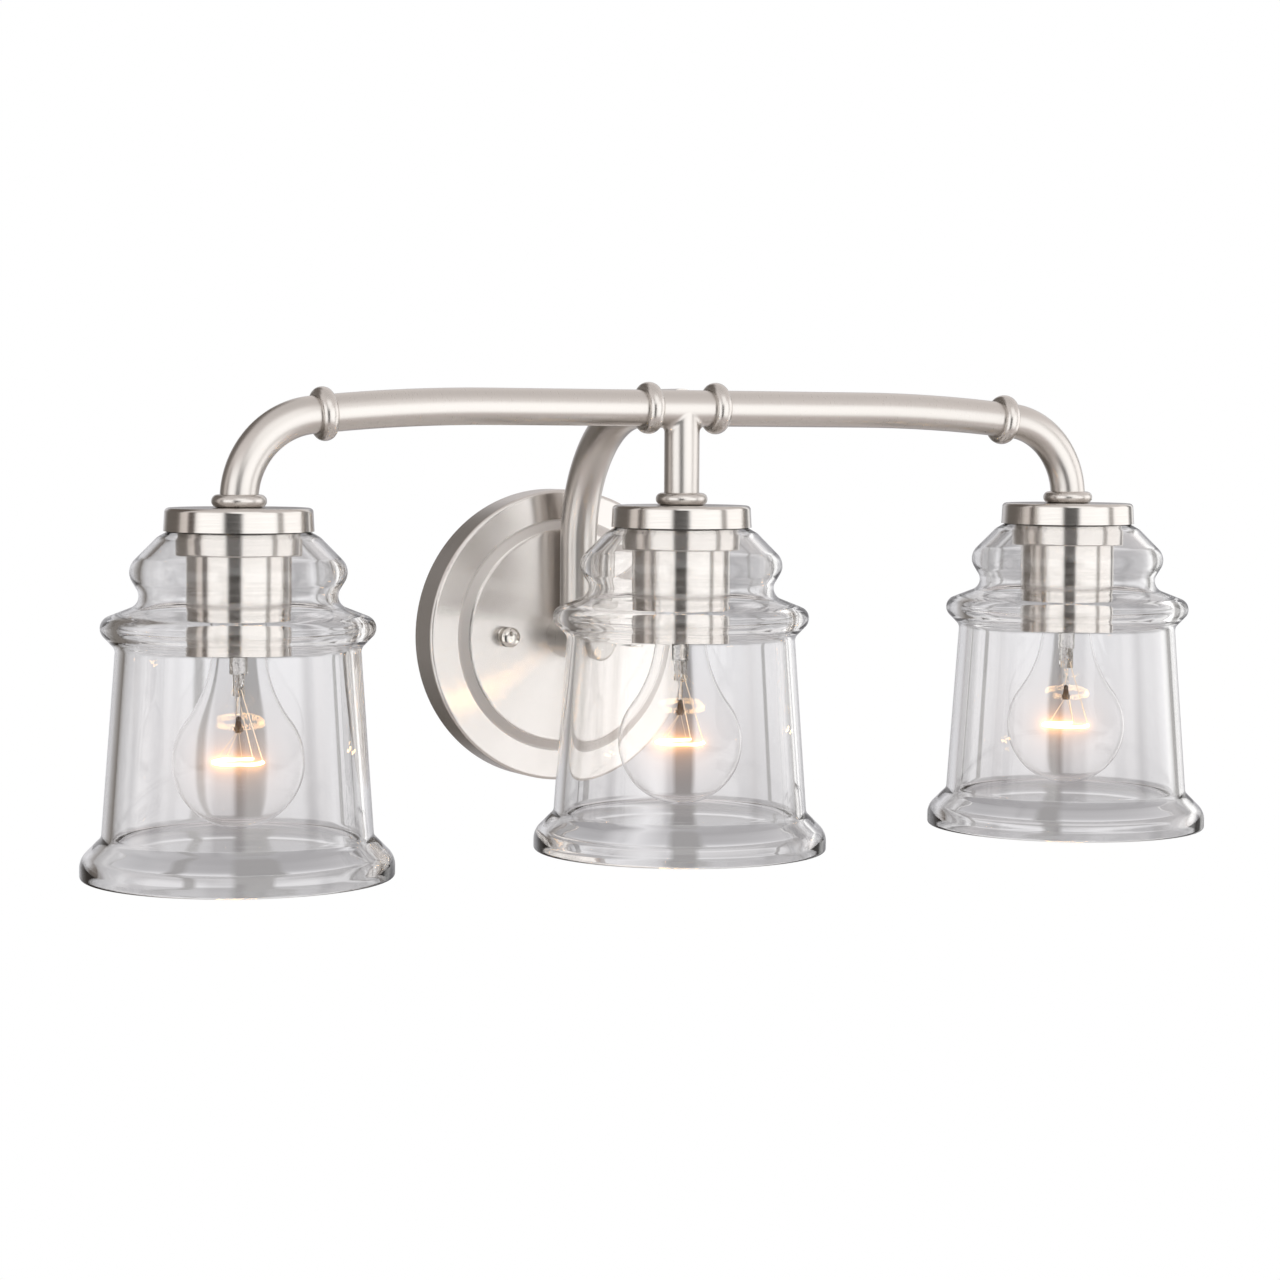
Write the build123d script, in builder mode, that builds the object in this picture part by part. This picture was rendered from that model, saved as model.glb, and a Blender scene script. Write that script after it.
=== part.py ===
from build123d import *
import os
from math import atan2, cos, degrees, radians, sin

# Vanity light bar: three clear bell shades hang from a bowed bar, which a gooseneck arm
# holds off a round backplate. Millimetres. The origin is on the wall, at the centre of the
# mounting strap's back face. +X runs along the bar, +Y points into the wall and +Z is up.

# Layout
lamp_spacing = 225.0        # between neighbouring lamp axes
lamp_reach = 150.0          # wall to the lamp axes
bar_height = 117.4          # bar axis above the backplate's centre

# Clearances
slip_gap = 0.05             # radial, a tube or screw in the hole that holds it
thread_gap = 0.08           # radial, a screw thread that turns in its mate
seat_gap = 0.3              # between pieces that slide or turn past each other

# Backplate, spun from sheet
plate_radius = 75.8
plate_sheet = 1.2
plate_depth = 20.0          # wall to the flat outer ring
plate_corner = 2.0
disc_radius = 54.5          # raised centre disc
disc_rise = 3.0
step_run = 5.2              # how far the step slopes outwards
step_bend = 2.5

# Mounting strap, its studs and the knurled cap nuts
strap_length = 106.0
strap_width = 20.0
strap_sheet = 2.5
slot_spacing = 88.9         # box screws, 3.5 inches apart
slot_length = 9.0
slot_width = 5.0
wire_hole_radius = 7.0
stud_spacing = 69.85        # 2.75 inches
stud_radius = 2.05
lock_nut_flats = 8.7
lock_nut_height = 3.2
ground_screw_place = 19.0   # along the strap
ground_screw_radius = 2.0
ground_head_flats = 7.0
ground_head_height = 3.2
cap_nut_radius = 5.2
cap_nut_length = 7.2
cap_nut_bore = 5.6
cap_nut_chamfer = 0.8
cap_nut_dome = 0.9
cap_nut_seat = 0.1

# Hub and gooseneck arm
hub_radius = 11.6
hub_wall = 3.4              # in front of and behind the arm's end
hub_edge = 2.0
hub_floor = 6.0             # how far the arm's end goes below the hub's axis
arm_radius = 9.5
arm_wall = 1.4
arm_bend = 70.0
arm_stand_off = 36.0        # wall to the arm's upright axis

# Threaded nipples and their hex nuts
nipple_radius = 4.9
nipple_bore = 3.2
hub_nut_flats = 15.0
hub_nut_height = 4.5
nipple_tail = 1.5           # thread that shows past a nut

# Bar tubes, elbows and bead collars
tube_radius = 8.75
tube_wall = 1.2
bow_radius = 850.0          # droop of the bar towards each end
bow_angle = 5.6             # degrees of droop at the outer collars
elbow_radius = 38.7
elbow_lead = 1.5            # straight tube between the outer collar and the elbow
elbow_tail = 1.0            # straight tube below the elbow
collar_radius = 12.5
collar_width = 8.0
collar_land = 0.6           # bead height at its edges
collar_web = 2.0            # wall inside a collar that the tube ends meet
web_hole_radius = 5.5
inner_collar_place = 18.25  # from the middle lamp's axis

# Centre tee
tee_wall = 2.2
stem_radius = 8.5           # drop stem of the tee
tee_blend = 4.0             # hollow blend between the tee's run and its stem
tee_boss_face = 11.5        # bar axis to the face that the arm meets
tee_spigot = 8.0

# Stem collar on top of each socket cap
stem_collar_height = 6.0
stem_collar_floor = 2.6
stem_play = 0.15            # radial, round a tube's end where its bend begins
bush_height = 4.0
bush_play = 0.35            # radial, bush in a tube's end

# Socket cap, sleeve and retaining ring
cap_radius = 33.9
cap_top_radius = 33.3
cap_height = 10.5
cap_corner = 2.0
cap_sheet = 1.2
sleeve_radius = 23.8
sleeve_wall = 1.2
sleeve_drop = 52.0          # below the cap's rim
socket_nut_flats = 14.0
socket_nut_height = 4.0
ring_radius = 28.5
ring_drop = 12.0
ring_edge = 0.8

# Lampholder, screw shell and centre contact
holder_radius = 19.5
holder_drop = 49.0
holder_boss_radius = 10.0
holder_boss_height = 8.0
holder_gap = 2.1            # lock nut to the lampholder's boss
holder_thread = 12.0        # nipple held in the lampholder
holder_roof = 20.0          # below the cap's rim
holder_mouth = 14.2
shell_wall = 0.5
shell_length = 27.0
shell_flange = 4.0
contact_sheet = 0.6
contact_width = 7.0
contact_foot = 4.0
contact_reach = 7.5

# Light bulb with a screw base
ball_radius = 30.0
bulb_length = 110.0         # end contact to the bottom of the ball
contact_room = 4.0          # roof of the lampholder to the bulb's end contact
bulb_neck_radius = 12.4
bulb_glass = 0.8
base_radius = 13.05
base_sheet = 0.55
base_length = 27.0          # tip to the rim of the base
base_shoulder = 5.0
tip_radius = 4.7
tip_height = 3.0
neck_in_base = 7.5
neck_lead = 1.0             # straight glass below the base
mount_tube_radius = 4.2
mount_wall = 1.0
mount_length = 21.0
pinch_width = 9.0
pinch_thickness = 3.4
pinch_height = 10.0
rod_radius = 1.2
rod_length = 14.0
button_radius = 2.2         # glass bead that holds the filament's supports
button_height = 2.6
filament_radius = 0.7
filament_arc = 11.5
filament_gap = 70.0         # degrees left open between the filament's ends
lead_radius = 0.4
lead_grip = 3.0             # lead wire held in the pinch
support_radius = 0.25
support_angles = (100.0, 180.0, 260.0)

# Glass shade: corners of the outside as (radius, height over the cap's rim) and their bends
shade_wall = 3.0
shade_neck_gap = 0.5
shade_bore_gap = 0.7
neck_bend = 3.5
neck_foot = -0.4
neck_foot_bend = 0.8
shoulder_corner = (37.0, -2.6)
shoulder_bend = 8.0
bulge_corner = (50.9, -17.2)
bulge_bend = 8.0
waist_corner = (42.0, -32.0)
waist_bend = 5.8
bead_corner = (66.0, -41.4)
bead_bend = 5.5
skirt_top = (55.05, -52.8)
skirt_top_bend = 3.0
skirt_foot = (61.1, -137.5)
skirt_foot_bend = 3.0
lip_radius = 70.7
lip_slope = 45.0
lip_bend = 9.0
shade_drop = 155.8
rim_polish = 1.2

# Places that follow from the sizes above
disc_face = plate_depth + disc_rise
hub_front = arm_stand_off + arm_radius + hub_wall
tube_bore = tube_radius - tube_wall
arm_bore = arm_radius - arm_wall
half_web = collar_web / 2
bow_rise = bow_radius * (1 - cos(radians(bow_angle)))
collar_to_elbow = half_web + collar_width / 2 + elbow_lead
elbow_run = elbow_radius * (1 - sin(radians(bow_angle)))
elbow_start = (
    lamp_spacing - elbow_run,
    bar_height - bow_rise - collar_to_elbow * sin(radians(bow_angle)),
)
elbow_foot = elbow_start[1] - elbow_radius * cos(radians(bow_angle))
tube_foot = elbow_foot - elbow_tail
cap_top = tube_foot - stem_collar_floor
cap_rim = cap_top - cap_height
outer_collar = (
    elbow_start[0] - (collar_to_elbow - half_web) * cos(radians(bow_angle)),
    elbow_start[1] + (collar_to_elbow - half_web) * sin(radians(bow_angle)),
)
bow_end = outer_collar[0] - half_web * cos(radians(bow_angle))
bow_start = bow_end - bow_radius * sin(radians(bow_angle))
collar_bore = tube_radius + slip_gap
stem_bore = tube_radius + stem_play
bush_radius = tube_radius - tee_wall - bush_play
cap_ceiling = cap_height - cap_sheet
lamps = {"left": -lamp_spacing, "middle": 0.0, "right": lamp_spacing}
bar_plane = Plane.XZ.offset(lamp_reach)
folder = "parts"
os.makedirs(folder, exist_ok=True)


def keep(piece, name):
    """Label a finished piece and write it to its own file."""
    piece.part.label = name
    export_step(piece.part, f"{folder}/{name}.step")


def wall_plane(distance):
    """A plane parallel to the wall, looking away from it, this far out."""
    return Plane.XZ.offset(distance)


def lamp_section(lamp_x):
    """The upright plane through a lamp's axis, with its origin on the cap's rim."""
    return Plane(origin=(lamp_x, -lamp_reach, cap_rim), x_dir=(1, 0, 0), z_dir=(0, -1, 0))


def lamp_level(lamp_x, height):
    """A level plane on a lamp's axis, at a height over the cap's rim."""
    return Plane(origin=(lamp_x, -lamp_reach, cap_rim + height))


def lamp_axis(lamp_x):
    """The upright axis of a lamp."""
    return Axis((lamp_x, -lamp_reach, 0), (0, 0, 1))


# Wall side

with BuildPart() as backplate:
    with BuildSketch(Plane.XY):
        with BuildLine():
            FilletPolyline(
                (nipple_radius + slip_gap, -disc_face),
                (disc_radius, -disc_face),
                (disc_radius + step_run, -plate_depth),
                (plate_radius, -plate_depth),
                (plate_radius, 0),
                radius=[step_bend, step_bend, plate_corner],
            )
            offset(amount=plate_sheet, side=Side.LEFT)
        make_face()
    revolve(axis=Axis.Y)
    with BuildSketch(wall_plane(0)):
        with GridLocations(stud_spacing, 0, 2, 1):
            Circle(stud_radius + seat_gap)
    extrude(amount=disc_face, mode=Mode.SUBTRACT)
keep(backplate, "backplate")

with BuildPart() as mounting_strap:
    with BuildSketch(wall_plane(0)):
        SlotOverall(strap_length, strap_width)
        with GridLocations(slot_spacing, 0, 2, 1):
            SlotOverall(slot_length, slot_width, mode=Mode.SUBTRACT)
        with GridLocations(stud_spacing, 0, 2, 1):
            Circle(stud_radius + slip_gap, mode=Mode.SUBTRACT)
        with Locations((ground_screw_place, 0)):
            Circle(ground_screw_radius + slip_gap, mode=Mode.SUBTRACT)
        Circle(wire_hole_radius, mode=Mode.SUBTRACT)
    extrude(amount=strap_sheet)
keep(mounting_strap, "mounting_strap")

with BuildPart() as mounting_studs:
    with BuildSketch(wall_plane(0)):
        with GridLocations(stud_spacing, 0, 2, 1):
            Circle(stud_radius)
    extrude(amount=disc_face + cap_nut_bore - seat_gap)
keep(mounting_studs, "mounting_studs")

with BuildPart() as stud_lock_nuts:
    with BuildSketch(wall_plane(strap_sheet)):
        with GridLocations(stud_spacing, 0, 2, 1):
            RegularPolygon(lock_nut_flats / 2, side_count=6, major_radius=False)
            Circle(stud_radius + slip_gap, mode=Mode.SUBTRACT)
    extrude(amount=lock_nut_height)
keep(stud_lock_nuts, "stud_lock_nuts")

with BuildPart() as ground_screw:
    with BuildSketch(wall_plane(0)):
        with Locations((ground_screw_place, 0)):
            Circle(ground_screw_radius)
    extrude(amount=strap_sheet)
    with BuildSketch(wall_plane(strap_sheet)):
        with Locations((ground_screw_place, 0)):
            RegularPolygon(ground_head_flats / 2, side_count=6, major_radius=False)
    extrude(amount=ground_head_height)
keep(ground_screw, "ground_screw")


def make_cap_nut(nut_x):
    """A blind round nut with a low domed end, on the front of the backplate."""
    base = Plane(
        origin=(nut_x, -disc_face - cap_nut_seat, 0), x_dir=(1, 0, 0), z_dir=(0, 0, -1)
    )
    with BuildPart() as cap_nut:
        with BuildSketch(base):
            with BuildLine():
                Polyline(
                    (0, cap_nut_length + cap_nut_dome),
                    (0, cap_nut_bore),
                    (stud_radius + thread_gap, cap_nut_bore),
                    (stud_radius + thread_gap, 0),
                    (cap_nut_radius, 0),
                    (cap_nut_radius, cap_nut_length - cap_nut_chamfer),
                    (cap_nut_radius - cap_nut_chamfer, cap_nut_length),
                )
                TangentArc(
                    (0, cap_nut_length + cap_nut_dome),
                    (cap_nut_radius - cap_nut_chamfer, cap_nut_length),
                    tangent=(1, 0),
                )
            make_face()
        revolve(axis=Axis((nut_x, 0, 0), (0, -1, 0)))
    return cap_nut


for side, nut_x in (("left", -stud_spacing / 2), ("right", stud_spacing / 2)):
    keep(make_cap_nut(nut_x), f"cap_nut_{side}")

# Hub, its nipple and nut, and the gooseneck arm

arm_socket = Plane(origin=(0, -arm_stand_off, -hub_floor))

with BuildPart() as hub:
    with BuildSketch(wall_plane(disc_face)):
        Circle(hub_radius)
    extrude(amount=hub_front - disc_face)
    fillet(hub.edges().group_by(Axis.Y)[0], radius=hub_edge)
    with BuildSketch(arm_socket):
        Circle(arm_radius + slip_gap)
    extrude(amount=hub_floor + hub_radius, mode=Mode.SUBTRACT)
    with BuildSketch(wall_plane(disc_face)):
        Circle(nipple_radius + slip_gap)
    extrude(amount=arm_stand_off - disc_face, mode=Mode.SUBTRACT)
keep(hub, "hub")

hub_nut_face = disc_face - plate_sheet
hub_nipple_back = hub_nut_face - hub_nut_height - nipple_tail
hub_nipple_front = arm_stand_off - arm_radius - slip_gap

with BuildPart() as hub_nipple:
    with BuildSketch(wall_plane(hub_nipple_back)):
        Circle(nipple_radius)
        Circle(nipple_bore, mode=Mode.SUBTRACT)
    extrude(amount=hub_nipple_front - hub_nipple_back)
keep(hub_nipple, "hub_nipple")

with BuildPart() as hub_lock_nut:
    with BuildSketch(wall_plane(hub_nut_face - hub_nut_height)):
        RegularPolygon(hub_nut_flats / 2, side_count=6, major_radius=False)
        Circle(nipple_radius + slip_gap, mode=Mode.SUBTRACT)
    extrude(amount=hub_nut_height)
keep(hub_lock_nut, "hub_lock_nut")

with BuildPart() as arm:
    with BuildLine(Plane.YZ) as arm_route:
        upright = Line((-arm_stand_off, -hub_floor), (-arm_stand_off, bar_height - arm_bend))
        gooseneck = JernArc(upright @ 1, upright % 1, arm_bend, 90)
        Line(gooseneck @ 1, (tee_boss_face - lamp_reach, bar_height))
    with BuildSketch(arm_socket):
        Circle(arm_radius)
        Circle(arm_bore, mode=Mode.SUBTRACT)
    sweep(path=arm_route.wire())
keep(arm, "arm")

# Centre tee, bar tubes and elbows

bar_end = inner_collar_place - half_web
bar_section = Plane(origin=(0, -lamp_reach, bar_height), z_dir=(1, 0, 0))
stem_section = Plane(origin=(0, -lamp_reach, tube_foot))
boss_section = Plane(origin=(0, -lamp_reach, bar_height), z_dir=(0, 1, 0))

with BuildPart() as tee:
    with BuildSketch(bar_section):
        Circle(tube_radius)
    extrude(amount=bar_end, both=True)
    with BuildSketch(stem_section):
        Circle(stem_radius)
    extrude(amount=bar_height - tube_foot)
    fillet(tee.edges(Select.LAST).filter_by(GeomType.CIRCLE, reverse=True), radius=tee_blend)
    with BuildSketch(boss_section):
        Circle(arm_radius)
    extrude(amount=tee_boss_face)
    with BuildSketch(boss_section):
        Circle(arm_bore - slip_gap)
    extrude(amount=tee_boss_face + tee_spigot)
    with BuildSketch(bar_section):
        Circle(tube_radius - tee_wall)
    extrude(amount=bar_end, both=True, mode=Mode.SUBTRACT)
    with BuildSketch(stem_section):
        Circle(tube_radius - tee_wall)
    extrude(amount=bar_height - tube_foot, mode=Mode.SUBTRACT)
    with BuildSketch(boss_section):
        Circle(tube_radius - tee_wall)
    extrude(amount=tee_boss_face + tee_spigot, mode=Mode.SUBTRACT)
keep(tee, "tee")


def tube_along(route, start, direction):
    """A bent tube of the bar's section along a route in the bar's plane."""
    with BuildPart() as tube:
        with BuildSketch(Plane(origin=start, z_dir=direction)):
            Circle(tube_radius)
            Circle(tube_bore, mode=Mode.SUBTRACT)
        sweep(path=route)
    return tube


def make_bar_tube(side):
    """One half of the bar, straight and then drooping to the outer collar."""
    with BuildLine(bar_plane) as route:
        straight = Line((side * (inner_collar_place + half_web), bar_height), (side * bow_start, bar_height))
        JernArc(straight @ 1, straight % 1, bow_radius, -side * bow_angle)
    path = route.wire()
    return tube_along(path, path @ 0, path % 0)


def make_elbow(side):
    """An elbow from an outer collar down to its lamp."""
    slope = radians(bow_angle)
    begin = (
        side * (outer_collar[0] + half_web * cos(slope)),
        outer_collar[1] - half_web * sin(slope),
    )
    with BuildLine(bar_plane) as route:
        lead = Line(begin, (side * elbow_start[0], elbow_start[1]))
        bend = JernArc(lead @ 1, lead % 1, elbow_radius, -side * (90 - bow_angle))
        Line(bend @ 1, (side * lamp_spacing, tube_foot))
    path = route.wire()
    return tube_along(path, path @ 0, path % 0)


def make_bar_collar(place, tilt):
    """A half-round bead that joins two tube ends, with a holed web between them."""
    across = Plane(
        origin=(place[0], -lamp_reach, place[1]), x_dir=(-sin(tilt), 0, cos(tilt)), z_dir=(0, -1, 0)
    )
    with BuildPart() as collar:
        with BuildSketch(across):
            with BuildLine():
                edge = collar_bore + collar_land
                Polyline(
                    (edge, -collar_width / 2),
                    (collar_bore, -collar_width / 2),
                    (collar_bore, -half_web),
                    (web_hole_radius, -half_web),
                    (web_hole_radius, half_web),
                    (collar_bore, half_web),
                    (collar_bore, collar_width / 2),
                    (edge, collar_width / 2),
                )
                EllipticalCenterArc(
                    (edge, 0), collar_radius - edge, collar_width / 2, start_angle=-90, arc_size=180
                )
            make_face()
        revolve(axis=Axis((place[0], -lamp_reach, place[1]), (cos(tilt), 0, sin(tilt))))
    return collar


for side, sign in (("left", -1), ("right", 1)):
    keep(make_bar_tube(sign), f"bar_tube_{side}")
    keep(make_elbow(sign), f"elbow_{side}")
    keep(make_bar_collar((sign * inner_collar_place, bar_height), 0), f"inner_collar_{side}")
    tilt = -sign * radians(bow_angle)
    keep(make_bar_collar((sign * outer_collar[0], outer_collar[1]), tilt), f"outer_collar_{side}")

# Lamp pieces, each made once per lamp. Heights are over the cap's rim.

nipple_top = cap_height + stem_collar_floor + bush_height
nut_top = cap_ceiling - sleeve_wall
holder_top = nut_top - socket_nut_height - holder_gap
holder_shoulder = holder_top - holder_boss_height
nipple_foot = holder_top - holder_thread
ring_top = cap_ceiling - seat_gap - shade_wall - seat_gap
tip_top = -holder_roof - contact_room
ball_drop = bulb_length - ball_radius - tip_top
base_rim = tip_top - base_length
neck_top = base_rim + neck_in_base


def make_stem_collar(lamp_x):
    """A bead that seats a tube's end on the socket cap, with a threaded bush inside."""
    half = stem_collar_height / 2
    top = cap_height + stem_collar_height
    seat = cap_height + stem_collar_floor
    edge = stem_bore + collar_land
    with BuildPart() as stem_collar:
        with BuildSketch(lamp_section(lamp_x)):
            with BuildLine():
                Polyline(
                    (edge, top),
                    (stem_bore, top),
                    (stem_bore, seat),
                    (bush_radius, seat),
                    (bush_radius, nipple_top),
                    (nipple_radius + slip_gap, nipple_top),
                    (nipple_radius + slip_gap, cap_height),
                    (edge, cap_height),
                )
                EllipticalCenterArc(
                    (edge, cap_height + half), collar_radius - edge, half, start_angle=-90, arc_size=180
                )
            make_face()
        revolve(axis=lamp_axis(lamp_x))
    return stem_collar


def make_socket_cap(lamp_x):
    """A shallow cup with a rounded edge that covers the shade's neck."""
    with BuildPart() as socket_cap:
        with BuildSketch(lamp_section(lamp_x)):
            with BuildLine():
                FilletPolyline(
                    (nipple_radius + slip_gap, cap_height),
                    (cap_top_radius, cap_height),
                    (cap_radius, 0),
                    radius=cap_corner,
                )
                offset(amount=cap_sheet, side=Side.RIGHT)
            make_face()
        revolve(axis=lamp_axis(lamp_x))
    return socket_cap


def make_socket_sleeve(lamp_x):
    """A tall cup, threaded outside at the top, that hides the lampholder."""
    bore = sleeve_radius - sleeve_wall
    with BuildPart() as socket_sleeve:
        with BuildSketch(lamp_level(lamp_x, -sleeve_drop)):
            Circle(sleeve_radius)
        extrude(amount=sleeve_drop + cap_ceiling)
        with BuildSketch(lamp_level(lamp_x, -sleeve_drop)):
            Circle(bore)
        extrude(amount=sleeve_drop + cap_ceiling - sleeve_wall, mode=Mode.SUBTRACT)
        with BuildSketch(lamp_level(lamp_x, cap_ceiling - sleeve_wall)):
            Circle(nipple_radius + slip_gap)
        extrude(amount=sleeve_wall, mode=Mode.SUBTRACT)
    return socket_sleeve


def make_retaining_ring(lamp_x):
    """The threaded ring that holds the shade's neck up in the cap."""
    with BuildPart() as retaining_ring:
        with BuildSketch(lamp_level(lamp_x, -ring_drop)):
            Circle(ring_radius)
            Circle(sleeve_radius + thread_gap, mode=Mode.SUBTRACT)
        extrude(amount=ring_drop + ring_top)
        fillet(retaining_ring.edges().group_by(Axis.Z)[0].sort_by(SortBy.RADIUS)[-1], radius=ring_edge)
    return retaining_ring


def make_glass_shade(lamp_x):
    """The moulded shade: neck, shoulder bulge, waist, bead, flared skirt and rolled lip."""
    neck_radius = cap_radius - cap_sheet - shade_neck_gap
    lip_top = skirt_foot[1] - (lip_radius - skirt_foot[0]) / sin(radians(lip_slope)) * cos(
        radians(lip_slope)
    )
    with BuildPart() as glass_shade:
        with BuildSketch(lamp_section(lamp_x)):
            with BuildLine():
                FilletPolyline(
                    (sleeve_radius + shade_bore_gap, cap_ceiling - seat_gap),
                    (neck_radius, cap_ceiling - seat_gap),
                    (neck_radius, neck_foot),
                    shoulder_corner,
                    bulge_corner,
                    waist_corner,
                    bead_corner,
                    skirt_top,
                    skirt_foot,
                    (lip_radius, lip_top),
                    (lip_radius, -shade_drop),
                    radius=[
                        neck_bend,
                        neck_foot_bend,
                        shoulder_bend,
                        bulge_bend,
                        waist_bend,
                        bead_bend,
                        skirt_top_bend,
                        skirt_foot_bend,
                        lip_bend,
                    ],
                )
                offset(amount=shade_wall, side=Side.RIGHT)
            make_face()
        revolve(axis=lamp_axis(lamp_x))
        fillet(glass_shade.edges().group_by(Axis.Z)[0], radius=rim_polish)
    return glass_shade


def make_lampholder(lamp_x):
    """A moulded lampholder with a threaded boss above and a deep mouth below."""
    with BuildPart() as lampholder:
        with BuildSketch(lamp_level(lamp_x, -holder_drop)):
            Circle(holder_radius)
        extrude(amount=holder_drop + holder_shoulder)
        with BuildSketch(lamp_level(lamp_x, holder_shoulder)):
            Circle(holder_boss_radius)
        extrude(amount=holder_boss_height)
        with BuildSketch(lamp_level(lamp_x, -holder_drop)):
            Circle(holder_mouth)
        extrude(amount=holder_drop - holder_roof, mode=Mode.SUBTRACT)
        with BuildSketch(lamp_level(lamp_x, nipple_foot)):
            Circle(nipple_radius + slip_gap)
        extrude(amount=holder_thread, mode=Mode.SUBTRACT)
    return lampholder


def make_screw_shell(lamp_x):
    """The metal shell that the bulb's base screws into, flanged against the roof."""
    inside = base_radius + thread_gap
    outside = inside + shell_wall
    with BuildPart() as screw_shell:
        with BuildSketch(lamp_section(lamp_x)):
            with BuildLine():
                Polyline(
                    (outside - shell_flange, -holder_roof),
                    (outside, -holder_roof),
                    (outside, -holder_roof - shell_length),
                    (inside, -holder_roof - shell_length),
                    (inside, -holder_roof - shell_wall),
                    (outside - shell_flange, -holder_roof - shell_wall),
                    close=True,
                )
            make_face()
        revolve(axis=lamp_axis(lamp_x))
    return screw_shell


def make_bulb_envelope(lamp_x):
    """A pear-shaped bulb: straight neck, hollow flank and ball end."""
    flank_drop = ball_drop + base_rim - neck_lead
    flank = (bulb_neck_radius**2 + flank_drop**2 - ball_radius**2) / (
        2 * (ball_radius - bulb_neck_radius)
    )
    lean = atan2(flank_drop, bulb_neck_radius + flank)
    with BuildPart() as bulb_envelope:
        with BuildSketch(lamp_section(lamp_x)):
            with BuildLine():
                neck = Line((bulb_neck_radius, neck_top), (bulb_neck_radius, flank_drop - ball_drop))
                side = JernArc(neck @ 1, neck % 1, flank, degrees(lean))
                TangentArc(side @ 1, (0, -ball_drop - ball_radius), tangent=side % 1)
                offset(amount=bulb_glass, side=Side.RIGHT)
            make_face()
        revolve(axis=lamp_axis(lamp_x))
    return bulb_envelope


def make_bulb_base(lamp_x):
    """The bulb's screw cap: a thin cup with a shoulder and an insulating end."""
    collar = tip_top - tip_height
    with BuildPart() as bulb_base:
        with BuildSketch(lamp_section(lamp_x)):
            with BuildLine():
                Polyline(
                    (tip_radius + slip_gap, collar),
                    (tip_radius + base_sheet, collar),
                    (base_radius, collar - base_shoulder),
                    (base_radius, base_rim),
                    (base_radius - base_sheet, base_rim),
                    (base_radius - base_sheet, collar - base_shoulder),
                    (tip_radius + slip_gap, collar - base_shoulder),
                    close=True,
                )
            make_face()
        revolve(axis=lamp_axis(lamp_x))
    return bulb_base


def make_bulb_tip(lamp_x):
    """The soldered end contact of the bulb."""
    with BuildPart() as bulb_tip:
        with BuildSketch(lamp_level(lamp_x, tip_top - tip_height - base_shoulder)):
            Circle(tip_radius)
        extrude(amount=tip_height + base_shoulder)
        fillet(bulb_tip.edges().group_by(Axis.Z)[-1], radius=tip_height / 2)
    return bulb_tip


def make_bulb_mount(lamp_x):
    """The glass stem inside a bulb: flared seal, tube, flat pinch, arbor rod and button."""
    tube_end = neck_top - mount_length
    pinch_end = tube_end - pinch_height
    rod_end = pinch_end - rod_length
    flare_radius = bulb_neck_radius - bulb_glass - slip_gap
    flare_drop = flare_radius - mount_tube_radius
    with BuildPart() as bulb_mount:
        with BuildSketch(lamp_section(lamp_x)):
            with BuildLine():
                rim = Line((0, neck_top - mount_wall), (flare_radius, neck_top - mount_wall))
                edge = Line(rim @ 1, (flare_radius, neck_top - 2 * mount_wall))
                flare = JernArc(edge @ 1, (-1, 0), flare_drop, 90)
                wall = Line(flare @ 1, (mount_tube_radius, tube_end))
                foot = Line(wall @ 1, (0, tube_end))
                Line(foot @ 1, rim @ 0)
            make_face()
        revolve(axis=lamp_axis(lamp_x))
        with BuildSketch(lamp_level(lamp_x, pinch_end)):
            RectangleRounded(pinch_thickness, pinch_width, pinch_thickness / 3)
        extrude(amount=pinch_height)
        with BuildSketch(lamp_level(lamp_x, rod_end)):
            Circle(rod_radius)
        extrude(amount=rod_length)
        with BuildSketch(lamp_level(lamp_x, rod_end - button_height)):
            Circle(button_radius)
        extrude(amount=button_height)
        fillet(bulb_mount.edges().group_by(Axis.Z)[0], radius=button_height / 3)
    return bulb_mount


def make_bulb_filament(lamp_x):
    """The coiled filament, bent to an open ring, on its two lead wires and three supports."""
    pinch_end = neck_top - mount_length - pinch_height
    button_middle = pinch_end - rod_length - button_height / 2
    level = lamp_level(lamp_x, -ball_drop)
    half_gap = filament_gap / 2
    with BuildPart() as bulb_filament:
        with BuildLine(level):
            ring = CenterArc((0, 0), filament_arc, half_gap, 360 - filament_gap)
        with BuildSketch(Plane(origin=ring @ 0, z_dir=ring % 0)):
            Circle(filament_radius)
        sweep(path=ring)
        for sign, ring_end in ((1, ring @ 0), (-1, ring @ 1)):
            foot = lamp_level(lamp_x, pinch_end).from_local_coords(
                Vector(0, sign * (pinch_width / 3), lead_grip)
            )
            with BuildLine():
                lead = Line(ring_end, foot)
            with BuildSketch(Plane(origin=lead @ 0, z_dir=lead % 0)):
                Circle(lead_radius)
            sweep(path=lead)
        for angle in support_angles:
            hook = level.from_local_coords(Vector(filament_arc, 0).rotate(Axis.Z, angle))
            with BuildLine():
                support = Line(hook, lamp_level(lamp_x, button_middle).origin)
            with BuildSketch(Plane(origin=support @ 0, z_dir=support % 0)):
                Circle(support_radius)
            sweep(path=support)
    return bulb_filament


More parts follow.
